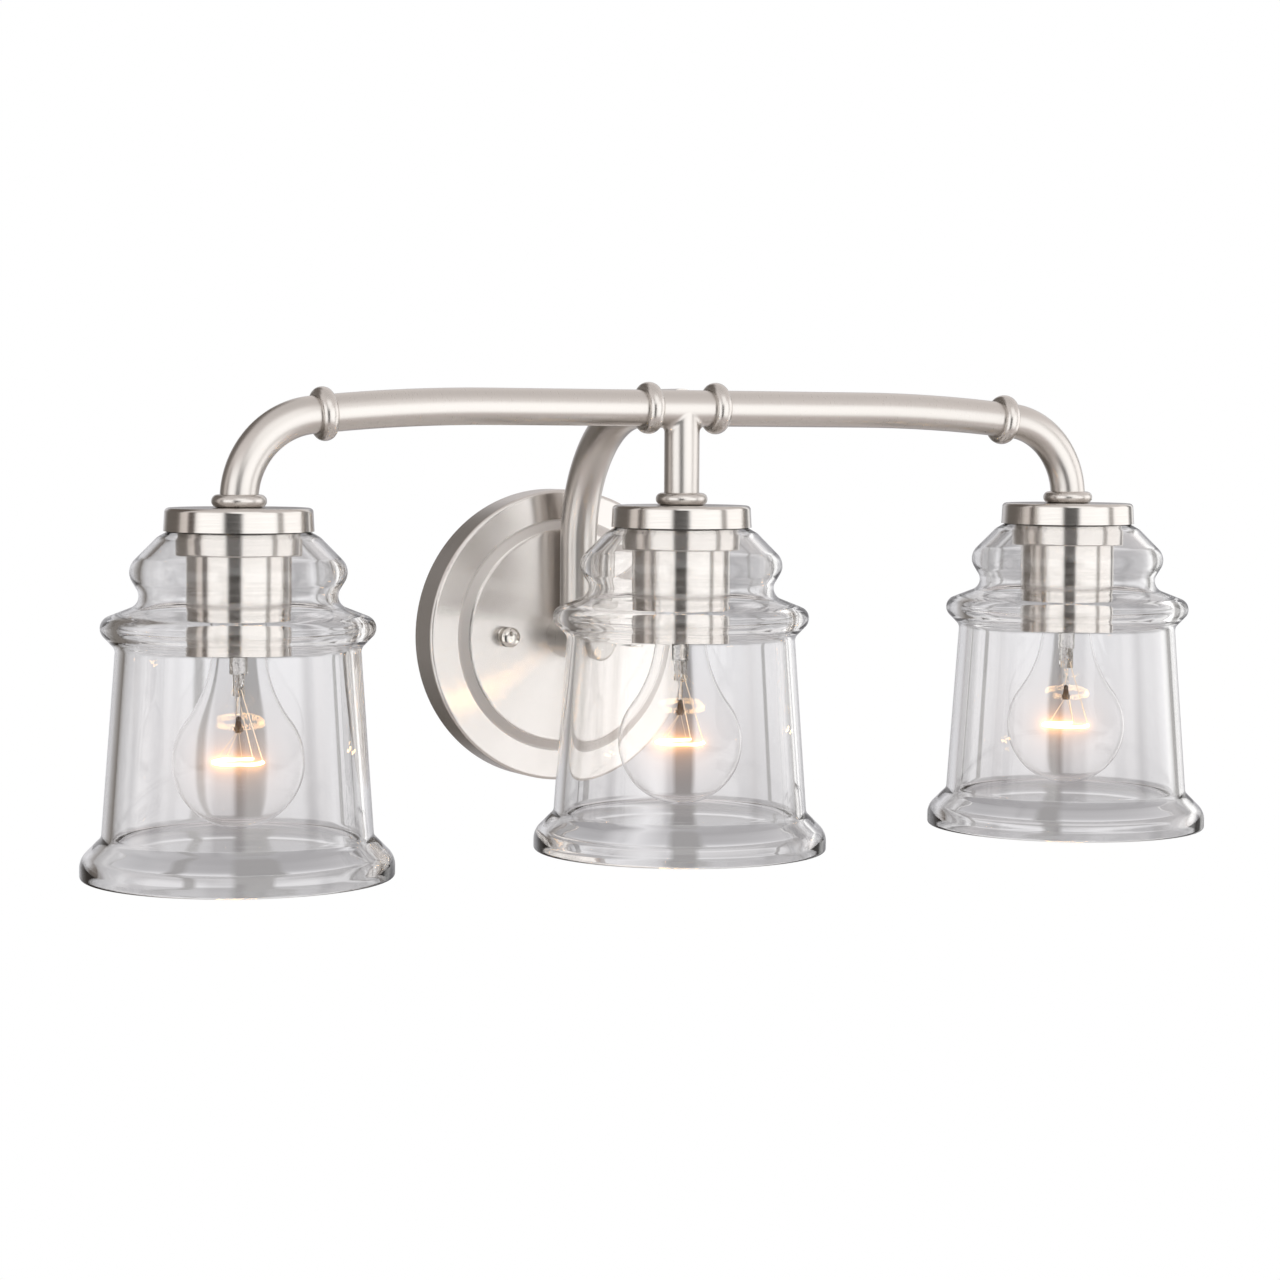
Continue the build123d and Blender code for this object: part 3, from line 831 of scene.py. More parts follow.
@dataclass
class Finishes:
    """The finishes that more than one sub-assembly uses."""

    brass: Material = field(default_factory=PlainMetal("yellow_brass", (0.82, 0.58, 0.24), 0.28).material)
    steel: Material = field(
        default_factory=PlainMetal("zinc_plated_steel", (0.70, 0.71, 0.72), 0.34).material
    )
    bare_nickel: Material = field(
        default_factory=BrushedNickel(
            "satin_nickel_bends", (0.66, 0.63, 0.60), 0.31, lines=2600.0, depth=0.05, relief=0.02,
        ).material
    )
    beads: Material = field(
        default_factory=BrushedNickel(
            "satin_nickel_beads", (0.66, 0.63, 0.60), 0.27, lines=2600.0, depth=0.04, relief=0.015,
        ).material
    )


@dataclass
class WallCanopy:
    """Backplate, strap, studs and the cap nuts that hold it to the wall.

    A cap nut's dome is given by points: how far in from its side, and how far back from its end.
    Its bore and the bore's ends are shares of its radius and length.
    """

    shop: NodeShop
    finishes: Finishes
    step: tuple[float, float] = (0.0558, 0.0604)
    nut_ridges: int = 56
    nut_ridge: float = 0.00042
    nut_collar: float = 0.0011
    nut_chamfer: float = 0.0003
    nut_fillet: float = 0.0002
    nut_head: float = 0.0025
    nut_dome: tuple[tuple[float, float], ...] = (
        (0.0001, 0.0023), (0.0001, 0.0019), (0.0006, 0.0012), (0.0016, 0.0006),
    )
    nut_flat: tuple[float, float] = (0.45, 0.00014)
    nut_bore: float = 0.41
    nut_bore_flat: float = 0.6
    nut_bore_ends: tuple[float, float] = (0.68, 0.7)
    stud_pitch: float = 0.00079
    nipple_pitch: float = 0.00094
    nipple_bore: float = 0.0032
    groove: float = 0.0003
    thread_core: float = 0.97
    thread_rows: int = 8
    nut_facets: int = 112
    rod_facets: int = 40

    def dress_plate(self) -> None:
        """Give the backplate, hub and the hidden hardware their finishes."""
        spun = StampedNickel(
            "spun_nickel_plate", (0.69, 0.66, 0.635), 0.24, grain=Grain.ROUND_Y, anisotropy=0.92,
            lines=3200.0, depth=0.04, relief=0.012, step=self.step,
        )
        dress("backplate", spun.material())
        hub = BrushedNickel(
            "spun_nickel_hub", (0.64, 0.61, 0.58), 0.30, grain=Grain.ROUND_Y, anisotropy=0.4,
            depth=0.05, relief=0.03,
        )
        dress("hub", hub.material())
        for node in ("mounting_strap", "stud_lock_nuts", "hub_lock_nut"):
            dress(node, self.finishes.steel)
        dress("ground_screw", PlainMetal("green_ground_screw", (0.05, 0.32, 0.11), 0.38).material())

    def nut_outline(self, radius: float, length: float) -> Outline:
        """Trace a cap nut's blank, without its ridges.

        Args:
            radius: The nut's radius over its collar.
            length: Its length.

        Returns:
            Points from the end of the bore, round the collar, to the middle of the dome.
        """
        core, bore = radius - self.nut_ridge, radius * self.nut_bore
        collar, chamfer = self.nut_collar, self.nut_chamfer
        wall_end, end = (length * share for share in self.nut_bore_ends)
        flat, fall = self.nut_flat
        return [
            (0.0, end), (bore * self.nut_bore_flat, end), (bore, wall_end), (bore, 0.0),
            (radius - chamfer, 0.0), (radius, chamfer), (radius, collar), (core, collar + self.nut_fillet),
            (core, length - self.nut_head),
            *((radius - inward, length - back) for inward, back in self.nut_dome),
            (radius * flat, length - fall), (0.0, length),
        ]

    def build_cap_nut(self, side: Side) -> None:
        """Build one knurled cap nut over its CAD solid.

        Args:
            side: Which of the two nuts.
        """
        node = f"cap_nut_{side.value}"
        low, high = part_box(node)
        middle, radius, length = (low + high) / 2, (high.x - low.x) / 2, high.y - low.y
        polish = BrushedNickel(
            f"knurled_nickel_{side.value}", (0.72, 0.69, 0.65), 0.13, grain=Grain.ROUND_Y,
            centre=tuple(middle), lines=3000.0, depth=0.06, relief=0.03,
        ).material()
        outline = self.nut_outline(radius, length)
        body = turned_mesh(node + "_body", outline, Matrix.Identity(4), self.nut_facets)
        shaft, ridge = length - self.nut_head, self.nut_ridge * 1.2
        mesh = self.shop.run(
            self.shop.knurl,
            node + "_knurled",
            {"Count": self.nut_ridges, "Radius": radius - ridge, "Ridge": ridge,
             "Length": shaft - self.nut_collar, "Height": (shaft + self.nut_collar) / 2},
            polish,
            body,
        )
        mesh.transform(facing_out(low, high))
        mesh.set_sharp_from_angle(angle=SHARP_EDGE)
        seat(new_piece(node + "_knurled", mesh, polish), node, "polished_nickel", node)

    def threaded_rod(self, name: str, low: Vector, high: Vector, bore: float, pitch: float) -> Mesh:
        """Turn a rod along Y that fills a box, and roll its thread.

        Args:
            name: The mesh's name.
            low: The box's least corner.
            high: Its greatest corner.
            bore: Radius of a hole through the rod, or 0.
            pitch: The thread's pitch.

        Returns:
            The rod's mesh, in place.
        """
        radius, length, groove = (high.z - low.z) / 2, high.y - low.y, self.groove
        rows = math.ceil(length / pitch * self.thread_rows)
        skin = [(radius, groove + (length - 2 * groove) * row / rows) for row in range(rows + 1)]
        outline = [(bore, 0.0), (radius - groove, 0.0), *skin, (radius - groove, length), (bore, length)]
        body = turned_mesh(name + "_blank", outline, Matrix.Identity(4), self.rod_facets)
        mesh = self.shop.run(
            self.shop.thread,
            name,
            {"Pitch": pitch, "Depth": groove, "Core": radius * self.thread_core, "From": 0.0, "To": length},
            self.finishes.brass,
            body,
        )
        mesh.transform(facing_out(low, high))
        return mesh

    def build_threads(self) -> None:
        """Build the threaded studs and the hub's nipple over their CAD solids."""
        low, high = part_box("mounting_studs")
        across = Vector((high.z - low.z, 0.0, 0.0))
        first = Vector((low.x, high.y, high.z)) + across
        last = Vector((high.x, low.y, low.z)) - across
        studs = [
            self.threaded_rod("mounting_stud_left", low, first, 0.0, self.stud_pitch),
            self.threaded_rod("mounting_stud_right", last, high, 0.0, self.stud_pitch),
        ]
        pair = joined_mesh("mounting_studs_threaded", studs)
        nipple = self.threaded_rod(
            "hub_nipple_threaded", *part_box("hub_nipple"), self.nipple_bore, self.nipple_pitch
        )
        for mesh, node in ((pair, "mounting_studs"), (nipple, "hub_nipple")):
            seat(new_piece(node + "_threaded", mesh, self.finishes.brass), "fixture", "zinc_steel", node)

    def build(self) -> None:
        """Dress and build the whole wall side."""
        self.dress_plate()
        self.build_threads()
        for side in Side:
            self.build_cap_nut(side)


@dataclass
class LampBar:
    """The arm, the tee, the bowed bar, its elbows and bead collars."""

    finishes: Finishes
    bar_middle: Point = (0.0, -0.15, 0.1174)

    def build(self) -> None:
        """Dress the tubes and their collars."""
        for node in ("arm", "elbow_left", "elbow_right", "tee"):
            dress(node, self.finishes.bare_nickel)
        bar = BrushedNickel(
            "brushed_nickel_bar", (0.67, 0.64, 0.61), 0.30, grain=Grain.ROUND_X,
            centre=self.bar_middle, anisotropy=0.3, lines=2400.0, depth=0.05, relief=0.02,
        ).material()
        for side in Side:
            dress(f"bar_tube_{side.value}", bar)
            for name in ("inner_collar", "outer_collar"):
                dress(f"{name}_{side.value}", self.finishes.beads)


@dataclass
class LampSocket:
    """Socket cap, sleeve, retaining ring, lampholder and what clamps them."""

    lamp: Lamp
    finishes: Finishes

    def build(self) -> None:
        """Dress one lamp's metalwork and its lampholder."""
        name = self.lamp.value
        low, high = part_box(f"socket_cap_{name}")
        turned = BrushedNickel(
            f"turned_nickel_{name}", (0.67, 0.64, 0.61), 0.19, grain=Grain.ROUND_Z,
            centre=tuple(over_middle(low, high, low.z).to_translation()),
            anisotropy=0.7, lines=1700.0, depth=0.10, relief=0.04,
        ).material()
        dress(f"stem_collar_{name}", self.finishes.beads)
        for node in ("socket_cap", "socket_sleeve", "retaining_ring"):
            dress(f"{node}_{name}", turned)
        phenolic = Finish(f"black_phenolic_{name}", (0.018, 0.016, 0.015), 0.3)
        dress(f"lampholder_{name}", phenolic.material())
        dress(f"screw_shell_{name}", self.finishes.brass)


@dataclass
class GlassShade:
    """One clear glass bell, moulded outside and smoother inside; heights are over the cap's rim."""

    lamp: Lamp
    glass: Material
    outside: tuple[Corner, ...] = (
        (0.0245, 0.0090, 0.0), (0.0322, 0.0090, 0.0030), (0.0322, -0.0002, 0.0012),
        (0.0366, -0.0027, 0.0080), (0.0509, -0.0172, 0.0080), (0.0420, -0.0320, 0.0058),
        (0.0660, -0.0414, 0.0055), (0.05505, -0.0528, 0.0045), (0.0611, -0.1375, 0.0040),
        (0.0707, -0.1471, 0.0090),
    )
    inside: tuple[Corner, ...] = (
        (0.0662, -0.1505, 0.0120), (0.0566, -0.1398, 0.0110), (0.0505, -0.0511, 0.0090),
        (0.0581, -0.0431, 0.0055), (0.0380, -0.0330, 0.0090), (0.0458, -0.0178, 0.0080),
        (0.0332, -0.0052, 0.0060), (0.0292, -0.0008, 0.0030), (0.0292, 0.0060, 0.0015),
        (0.0245, 0.0060, 0.0),
    )
    drop: float = 0.1558
    wall: float = 0.003
    rim_bend: float = 0.00147
    facets: int = 180

    def build(self) -> None:
        """Blow the glass over its CAD solid."""
        name = self.lamp.value
        low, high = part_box(f"socket_cap_{name}")
        outer = self.outside[-1][0]
        rim = [(radius, -self.drop, self.rim_bend) for radius in (outer, outer - self.wall)]
        outline = rounded_outline([*self.outside, *rim, *self.inside])
        node = f"glass_shade_{name}"
        mesh = turned_mesh(node + "_bell", outline, over_middle(low, high, low.z), self.facets)
        seat(new_piece(node + "_bell", mesh, self.glass), f"shade_{name}", "shade_glass", node)


@dataclass
class BulbFinishes:
    """What a light bulb is made of."""

    bead: Material = field(default_factory=Finish("smoked_glass_bead", (0.05, 0.045, 0.042), 0.25).material)
    glass: Material = field(
        default_factory=ClearGlass("clear_bulb_glass", (1.0, 1.0, 1.0), 0.0, bend=1.11).material
    )
    stem: Material = field(
        default_factory=ClearGlass("drawn_stem_glass", (1.0, 0.98, 0.95), 0.02, wave_height=0.0006).material
    )
    aluminium: Material = field(
        default_factory=PlainMetal("bulb_base_aluminium", (0.80, 0.80, 0.79), 0.32).material
    )
    solder: Material = field(default_factory=PlainMetal("soft_solder", (0.52, 0.52, 0.53), 0.42).material)
    lit: Material = field(default_factory=LitWire("white_hot_tungsten", (0.6, 0.5, 0.4), 0.4).material)
    # Painted glow: the lead and support wires give off a faint warm light that stands in for the filament's
    # light falling on them.
    wire_painted_glow: Material = field(
        default_factory=LitWire(
            "lead_wire_painted_glow", (0.46, 0.40, 0.35), 0.3, glow=(1.0, 0.78, 0.55), strength=0.75, seen=0.5,
        ).material
    )


@dataclass
class LightBulb:
    """One clear bulb with its threaded base, glass mount and lit filament.

    The base's fold and seam are shares of the way from its shoulder to its tip.
    """

    lamp: Lamp
    shop: NodeShop
    finishes: BulbFinishes
    wall: float = 0.00045
    neck: float = 0.0124
    neck_straight: float = 0.0085
    neck_steps: int = 5
    flank_steps: int = 24
    ball_steps: int = 48
    envelope_facets: int = 128
    ring: float = 0.0115
    ring_lift: float = 0.0007
    gap: float = math.radians(70.0)
    coil: float = 0.0006
    coil_turns: float = 58.0
    sag: float = 0.0003
    wire: float = 0.0002
    lead_wire: float = 0.00024
    lead_spread: float = 0.003
    support_wire: float = 0.00012
    support_angles: tuple[float, ...] = (100.0, 180.0, 260.0)
    button_drop: float = 0.0183
    bead: float = 0.00145
    bead_length: float = 0.0038
    bead_lean: float = 0.25
    bead_seat: float = 1.02
    bead_steps: int = 24
    bead_facets: int = 40
    thread_pitch: float = 0.003629
    thread_depth: float = 0.00042
    thread_skin: float = 0.0003
    thread_rows: int = 72
    base_sheet: float = 0.00055
    base_skirt: float = 0.004
    base_facets: int = 120
    shoulder: float = 0.005
    fold: float = 0.28
    seam: float = 0.30
    tip_gap: float = 0.00005
    cone_facets: int = 72

    def wall_outline(self, ball: float, drop: float, inset: float) -> Outline:
        """Trace one surface of the envelope: neck, hollow flank, ball.

        Args:
            ball: The ball's radius outside.
            drop: Depth of the ball's centre below the neck's top.
            inset: How far the surface lies inside the outer one.

        Returns:
            Points from the neck's top to the pole, heights from the neck's top.
        """
        straight = self.neck_straight
        fall = drop - straight
        flank = (self.neck**2 + fall**2 - ball**2) / (2 * (ball - self.neck))
        lean = math.atan2(fall, self.neck + flank)
        bend = flank + inset
        points = [(self.neck - inset, -straight * step / self.neck_steps) for step in range(self.neck_steps)]
        for step in range(self.flank_steps):
            turn = lean * step / self.flank_steps
            points.append((self.neck + flank - bend * math.cos(turn), -straight - bend * math.sin(turn)))
        for step in range(self.ball_steps + 1):
            turn = lean + (-math.pi / 2 - lean) * step / self.ball_steps
            points.append(((ball - inset) * math.cos(turn), (ball - inset) * math.sin(turn) - drop))
        points[-1] = (0.0, points[-1][1])
        return points

    def build_envelope(self) -> None:
        """Blow the thin envelope over its CAD solid."""
        node = f"bulb_envelope_{self.lamp.value}"
        low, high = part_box(node)
        ball = (high.x - low.x) / 2
        drop = high.z - low.z - ball
        outer, inner = (self.wall_outline(ball, drop, inset) for inset in (0.0, self.wall))
        place = over_middle(low, high, high.z)
        mesh = turned_mesh(node + "_blown", [*reversed(outer), *inner], place, self.envelope_facets)
        piece = new_piece(node + "_blown", mesh, self.finishes.glass)
        seat(piece, f"bulb_{self.lamp.value}", "bulb_glass", node)

    def on_ring(self, centre: Vector, turn: float) -> Point:
        """Find a point on the filament's ring.

        Args:
            centre: The ring's middle.
            turn: The point's angle.

        Returns:
            The point.
        """
        return tuple(centre + Vector((math.cos(turn), math.sin(turn), 0.0)) * self.ring)

    def build_filament(self) -> None:
        """Build the lit coil over the CAD filament, and the wires that carry it, which get a painted warm
        glow.
        """
        node, body = f"bulb_filament_{self.lamp.value}", f"bulb_{self.lamp.value}"
        low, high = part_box(node)
        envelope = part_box(f"bulb_envelope_{self.lamp.value}")
        centre = over_middle(*envelope, low.z + self.ring_lift).to_translation()
        mesh = self.shop.run(
            self.shop.coil,
            node + "_coil",
            {"Ring": self.ring, "Start": self.gap / 2, "Sweep": math.tau - self.gap, "Coil": self.coil,
             "Turns": self.coil_turns, "Wire": self.wire, "Sag": self.sag},
            self.finishes.lit,
        )
        mesh.transform(Matrix.Translation(centre))
        seat(new_piece(node + "_coil", mesh), body, "filament", node)
        leads = [
            [self.on_ring(centre, self.gap / 2 * sign), (centre.x, centre.y + self.lead_spread * sign, high.z)]
            for sign in (1.0, -1.0)
        ]
        button = (centre.x, centre.y, high.z - self.button_drop)
        supports = [[self.on_ring(centre, math.radians(angle)), button] for angle in self.support_angles]
        for label, runs, radius in (
            ("leads", leads, self.lead_wire), ("supports", supports, self.support_wire),
        ):
            wires = wire_mesh(f"{node}_{label}", runs, radius)
            # These wires carry the painted glow that stands in for the filament's light.
            seat(new_piece(f"{node}_{label}", wires, self.finishes.wire_painted_glow), body, "filament")

    def build_bead(self) -> None:
        """Melt a dark bead round the end of the glass rod, where the supports spring from."""
        node = f"bulb_mount_{self.lamp.value}"
        low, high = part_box(node)
        turns = [math.pi * step / self.bead_steps for step in range(self.bead_steps + 1)]
        outline = [
            (self.bead * math.sin(turn) * (1.0 + self.bead_lean * math.cos(turn)),
             -self.bead_length * math.cos(turn))
            for turn in turns
        ]
        outline[0], outline[-1] = (0.0, outline[0][1]), (0.0, outline[-1][1])
        place = over_middle(low, high, low.z + self.bead_length * self.bead_seat)
        mesh = turned_mesh(node + "_bead", outline, place, self.bead_facets)
        seat(new_piece(node + "_bead", mesh, self.finishes.bead), f"bulb_{self.lamp.value}", "filament")

    def build_base(self) -> None:
        """Roll the threaded shell and the dark insulator over the CAD base."""
        node, body = f"bulb_base_{self.lamp.value}", f"bulb_{self.lamp.value}"
        low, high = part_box(node)
        tip_low, tip_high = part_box(f"bulb_tip_{self.lamp.value}")
        radius, tip = (high.x - low.x) / 2, (tip_high.x - tip_low.x) / 2 + self.tip_gap
        top, inner = high.z - low.z, radius - self.base_sheet
        bend = top - self.shoulder
        place = over_middle(low, high, low.z)
        flank = [(radius, bend * row / self.thread_rows) for row in range(self.thread_rows + 1)]
        slope = Vector((radius, bend)), Vector((tip + self.base_sheet, top))
        fold, seam = (slope[0].lerp(slope[1], share) for share in (self.fold, self.seam))
        outline = [(inner, 0.0), *flank, tuple(fold), (fold.x, bend), (inner, bend)]
        blank = turned_mesh(node + "_blank", outline, Matrix.Identity(4), self.base_facets)
        shell = self.shop.run(
            self.shop.thread,
            node + "_shell",
            {"Pitch": self.thread_pitch, "Depth": self.thread_depth, "Core": radius - self.thread_skin,
             "From": self.base_skirt, "To": bend},
            self.finishes.aluminium,
            blank,
        )
        shell.transform(place)
        seat(new_piece(node + "_shell", shell), body, "aluminium", node)
        cone = [(tip, top), tuple(slope[1]), tuple(seam), (seam.x, bend), (tip, bend)]
        glass = turned_mesh(node + "_insulator", cone, place, self.cone_facets)
        seat(new_piece(node + "_insulator", glass, self.finishes.bead), body, "aluminium")

    def build(self) -> None:
        """Dress the bulb and build its glass, base and filament."""
        name = self.lamp.value
        dress(f"bulb_mount_{name}", self.finishes.stem)
        self.build_base()
        dress(f"bulb_tip_{name}", self.finishes.solder)
        self.build_envelope()
        self.build_filament()
        self.build_bead()


@dataclass(frozen=True)
class Panel:
    """A soft-edged panel in the surroundings: angles where it begins, is full, is still full and ends."""

    colour: Colour
    azimuths: Span
    heights: Span


@dataclass
class Studio:
    """White backdrop, soft panels all round, a pale floor and the camera.

    Angles are in degrees. Panels and drapes are placed round the upright axis from the eye's side,
    and the room's own tones, over and under the panels, by height.
    """

    azimuth: float = -26.383
    elevation: float = 1.407
    roll: float = 0.323
    distance: float = 1.4491
    target: Point = (-0.0405, -0.1502, 0.0683)
    lens: float = 85.46
    sensor: float = 36.0
    shift: tuple[float, float] = (0.0261, -0.1012)
    glow: Colour = (1.9, 1.28, 0.68)
    glow_from: float = 2.2
    glow_size: float = 0.35
    brightest: float = 1.66
    through_glass: float = 0.80
    floor_lift: float = 0.36
    floor_radius: float = 1.2
    floor_sheet: float = 0.02
    floor_facets: int = 64
    floor_middle: Point = (0.0, -0.1, -1.5)
    floor_tones: tuple[Colour, Colour] = ((0.74, 0.72, 0.70), (0.78, 0.76, 0.74))
    panels: tuple[tuple[float, Colour], ...] = (
        (-180.0, (0.72, 0.715, 0.735)), (-154.0, (0.72, 0.715, 0.735)), (-146.0, (0.42, 0.405, 0.40)),
        (-135.0, (0.19, 0.175, 0.16)), (-104.0, (0.19, 0.17, 0.155)), (-97.0, (0.32, 0.29, 0.27)),
        (-93.0, (0.85, 0.80, 0.76)), (-80.0, (1.0, 0.93, 0.89)), (-76.0, (0.13, 0.11, 0.10)),
        (-66.0, (0.13, 0.11, 0.10)), (-61.5, (1.4, 1.37, 1.35)), (-54.0, (1.6, 1.6, 1.6)),
        (34.0, (1.6, 1.6, 1.6)), (46.0, (1.66, 1.66, 1.66)), (66.0, (1.66, 1.66, 1.66)),
        (70.0, (0.55, 0.53, 0.51)), (77.0, (0.55, 0.53, 0.51)), (81.0, (1.6, 1.58, 1.57)),
        (122.0, (1.6, 1.58, 1.57)), (129.0, (0.34, 0.33, 0.32)), (139.0, (0.30, 0.295, 0.29)),
        (144.0, (1.15, 1.14, 1.13)), (152.0, (1.15, 1.14, 1.13)), (157.0, (0.72, 0.715, 0.735)),
        (180.0, (0.72, 0.715, 0.735)),
    )
    panel_heights: Span = (-40.0, -27.0, 17.0, 30.0)
    room: tuple[tuple[float, Colour], ...] = (
        (-90.0, (0.42, 0.36, 0.33)), (-45.0, (0.41, 0.37, 0.36)), (0.0, (0.52, 0.50, 0.49)),
        (30.6, (0.55, 0.52, 0.51)), (90.0, (0.43, 0.41, 0.40)),
    )
    drape: Colour = (0.31, 0.305, 0.31)
    drape_edge: float = 0.25
    drape_heights: Span = (-18.0, -14.0, 12.0, 16.0)
    drapes: tuple[tuple[float, float], ...] = ((-173.7, 0.62), (-171.2, 0.14), (178.4, 0.36), (171.9, 0.24))
    extras: tuple[Panel, ...] = (
        Panel((0.045, 0.044, 0.043), (-19.0, -13.0, 9.0, 15.0), (-45.0, -35.0, 30.0, 40.0)),
        Panel((0.17, 0.15, 0.135), (-168.0, -158.0, -98.0, -88.0), (14.0, 20.0, 48.0, 62.0)),
        Panel((1.45, 1.44, 1.43), (-14.0, -4.0, 44.0, 50.0), (12.0, 18.0, 46.0, 60.0)),
        Panel((0.36, 0.355, 0.37), BACK_RIGHT, (-40.0, -30.0, -10.5, -4.5)),
        Panel((0.36, 0.355, 0.37), BACK_LEFT, (-40.0, -30.0, -10.5, -4.5)),
        Panel((0.43, 0.425, 0.44), BACK_RIGHT, (-2.5, 1.0, 14.0, 17.0)),
        Panel((0.43, 0.425, 0.44), BACK_LEFT, (-2.5, 1.0, 14.0, 17.0)),
        Panel((0.12, 0.105, 0.09), (-168.0, -160.0, -92.0, -84.0), (-80.0, -70.0, -22.0, -10.0)),
    )

    @staticmethod
    def band(graph: Graph, place: Socket, span: float, edges: Span) -> Socket:
        """Mark a range of angles.

        Args:
            graph: The world's graph.
            place: The angle's socket, from 0 to 1 over the span.
            span: The whole span in degrees.
            edges: Where the mark begins, is full, is still full and ends, in degrees.

        Returns:
            A socket that is 1 inside the range and 0 outside.
        """
        levels = (0.0, 1.0, 1.0, 0.0)
        return graph.ramp(place, [(edge / span + 0.5, (level,) * 3) for edge, level in zip(edges, levels)])

    def share(self, colour: Colour) -> Colour:
        """Give a colour as a share of the brightest light.

        Args:
            colour: The colour.

        Returns:
            Its share, channel by channel.
        """
        return tuple(value / self.brightest for value in colour)

    def surroundings(self, graph: Graph) -> Socket:
        """Paint the panels, the room and the drapes on the sky.

        Args:
            graph: The world's graph.

        Returns:
            The colour socket, as a share of the brightest light.
        """
        way = graph.add("ShaderNodeTexCoord").outputs["Generated"]
        parts = graph.add("ShaderNodeSeparateXYZ", {0: way}).outputs
        round_about = graph.math("ARCTAN2", parts[0], graph.math("MULTIPLY", parts[1], -1.0))
        from_eye = graph.math("SUBTRACT", round_about, math.radians(self.azimuth))
        wrapped = graph.math("WRAP", from_eye, math.pi, -math.pi)
        place = graph.math("MULTIPLY_ADD", wrapped, 1.0 / math.tau, 0.5)
        height = graph.math("MULTIPLY_ADD", graph.math("ARCSINE", parts[2]), 1.0 / math.pi, 0.5)
        level = graph.ramp(
            place, [(angle / FULL_TURN + 0.5, self.share(colour)) for angle, colour in self.panels]
        )
        rest = graph.ramp(height, [(angle / POLE_TO_POLE + 0.5, colour) for angle, colour in self.room])
        mixed = graph.mix(self.band(graph, height, POLE_TO_POLE, self.panel_heights), rest, level)
        for panel in self.extras:
            inside = graph.math(
                "MULTIPLY",
                self.band(graph, place, FULL_TURN, panel.azimuths),
                self.band(graph, height, POLE_TO_POLE, panel.heights),
            )
            mixed = graph.mix(inside, mixed, (*self.share(panel.colour), 1.0))
        behind = self.band(graph, height, POLE_TO_POLE, self.drape_heights)
        for angles in self.drapes:
            hung = graph.near(wrapped, *(math.radians(angle) for angle in (*angles, self.drape_edge)))
            mixed = graph.mix(graph.math("MULTIPLY", hung, behind), mixed, (*self.share(self.drape), 1.0))
        return mixed

    def light(self) -> None:
        """Make the surroundings: white to the eye, panels and flags to the metal and glass."""
        world = bpy.data.worlds.new("studio")
        world.use_nodes = True
        bpy.context.scene.world = world
        world.node_tree.nodes.clear()
        graph = Graph(world.node_tree)
        path = graph.add("ShaderNodeLightPath").outputs
        unturned = graph.math("LESS_THAN", path["Glossy Depth"], 0.5)
        through = graph.math("MULTIPLY", path["Is Transmission Ray"], unturned)
        limit = (*self.share((self.through_glass,) * 3), 1.0)
        mixed = graph.mix(through, self.surroundings(graph), limit, "DARKEN")
        panels = graph.add("ShaderNodeBackground", {"Color": mixed, "Strength": self.brightest})
        white = graph.add("ShaderNodeBackground", {"Color": (1.0, 1.0, 1.0, 1.0), "Strength": 1.0})
        both = graph.add(
            "ShaderNodeMixShader", {0: path["Is Camera Ray"], 1: panels.outputs[0], 2: white.outputs[0]}
        )
        graph.add("ShaderNodeOutputWorld", {0: both.outputs[0]})
        bpy.context.scene.view_settings.view_transform = "Standard"

    def floor(self) -> None:
        """Lay a pale round floor well below the light bar."""
        radius, under = self.floor_radius, -self.floor_sheet
        outline = [(0.0, 0.0), (radius / 2, 0.0), (radius, 0.0), (radius, under), (0.0, under)]
        mesh = turned_mesh("pale_floor", outline, Matrix.Translation(self.floor_middle), self.floor_facets)
        dark, pale = self.floor_tones
        material, graph, shader = Finish("pale_floor_paint", pale, 0.7).start()
        grit = graph.noise(graph.object_place(), 60.0, 2.0)
        seen = graph.add("ShaderNodeLightPath").outputs["Is Camera Ray"]
        graph.feed(
            shader,
            {"Base Color": graph.ramp(grit, [(0.3, dark), (0.7, pale)]),
             "Emission Color": (1.0, 1.0, 1.0, 1.0),
             "Emission Strength": graph.math("MULTIPLY", seen, self.floor_lift)},
        )
        new_piece("pale_floor", mesh, material)

    def camera(self) -> None:
        """Set the camera where the photograph was taken from."""
        turn, lift, roll = (math.radians(angle) for angle in (self.azimuth, self.elevation, self.roll))
        back = Vector((math.sin(turn) * math.cos(lift), -math.cos(turn) * math.cos(lift), math.sin(lift)))
        right = Vector((math.cos(turn), math.sin(turn), 0.0))
        up = back.cross(right)
        level_right = right * math.cos(roll) + up * math.sin(roll)
        level_up = up * math.cos(roll) - right * math.sin(roll)
        lens = bpy.data.cameras.new("photo_camera")
        lens.lens = self.lens
        lens.sensor_width = self.sensor
        lens.shift_x, lens.shift_y = self.shift
        camera = bpy.data.objects.new("photo_camera", lens)
        turned = Matrix((level_right, level_up, back)).transposed().to_4x4()
        camera.matrix_world = Matrix.Translation(Vector(self.target) + back * self.distance) @ turned
        bpy.context.scene.collection.objects.link(camera)
        bpy.context.scene.camera = camera

    def bloom(self) -> None:
        """Let what is far brighter than white spill a soft glow, as it does in a lens."""
        scene = bpy.context.scene
        scene.use_nodes = True
        scene.node_tree.nodes.clear()
        graph = Graph(scene.node_tree)
        picture = graph.add("CompositorNodeRLayers").outputs["Image"]
        glare = graph.add(
            "CompositorNodeGlare",
            {"Image": picture, "Threshold": self.glow_from, "Strength": 1.0, "Size": self.glow_size},
            glare_type="BLOOM",
            quality="HIGH",
        ).outputs["Glare"]
        warm = graph.add("CompositorNodeMixRGB", {1: glare, 2: (*self.glow, 1.0)}, blend_type="MULTIPLY")
        both = graph.add("CompositorNodeMixRGB", {1: picture, 2: warm.outputs[0]}, blend_type="ADD")
        graph.add("CompositorNodeComposite", {0: both.outputs[0]})

    def build(self) -> None:
        """Set up light, floor, camera and lens glow."""
        self.light()
        self.floor()
        self.camera()
        self.bloom()


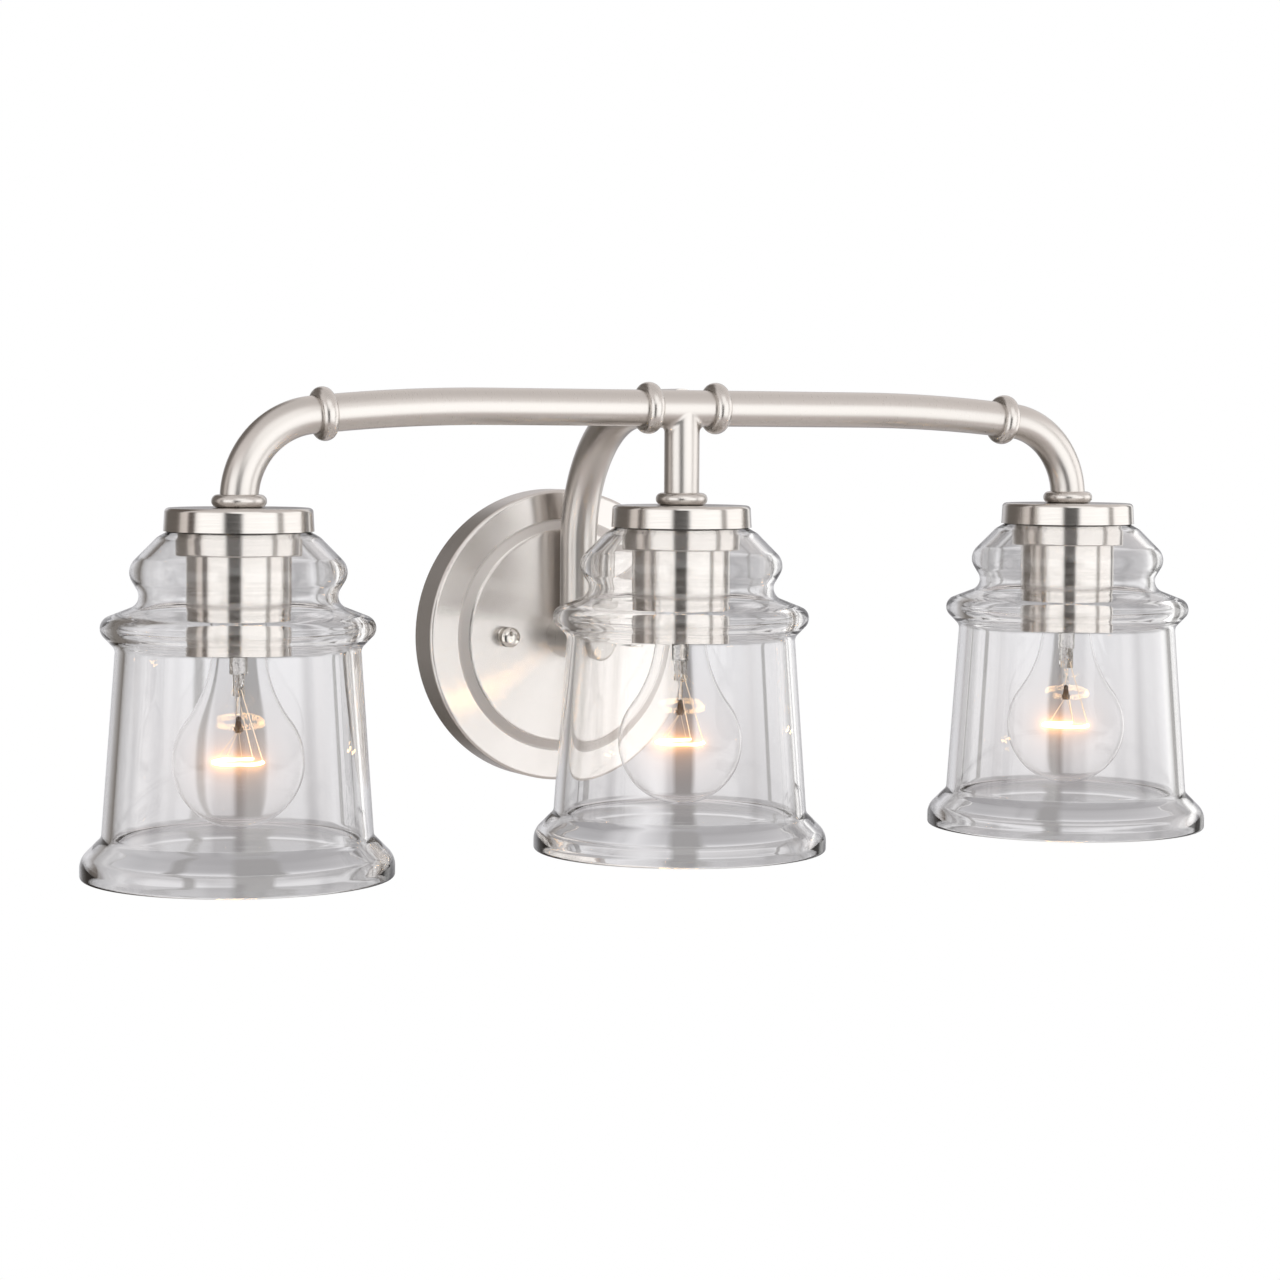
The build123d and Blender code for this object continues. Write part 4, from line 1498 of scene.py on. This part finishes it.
def main() -> None:
    """Build the studio and every sub-assembly."""
    logging.basicConfig(level=logging.INFO, format="%(message)s")
    shop = NodeShop()
    finishes = Finishes()
    Studio().build()
    WallCanopy(shop, finishes).build()
    LampBar(finishes).build()
    shade_glass = ClearGlass("clear_shade_glass", (1.0, 1.0, 1.0), 0.0, shine=0.8).material()
    bulb_finishes = BulbFinishes()
    for lamp in Lamp:
        LampSocket(lamp, finishes).build()
        GlassShade(lamp, shade_glass).build()
        LightBulb(lamp, shop, bulb_finishes).build()
    for node in ("socket_nipples", "socket_lock_nuts"):
        dress(node, finishes.steel)
    dress("centre_contacts", finishes.brass)


if __name__ == "__main__":
    main()
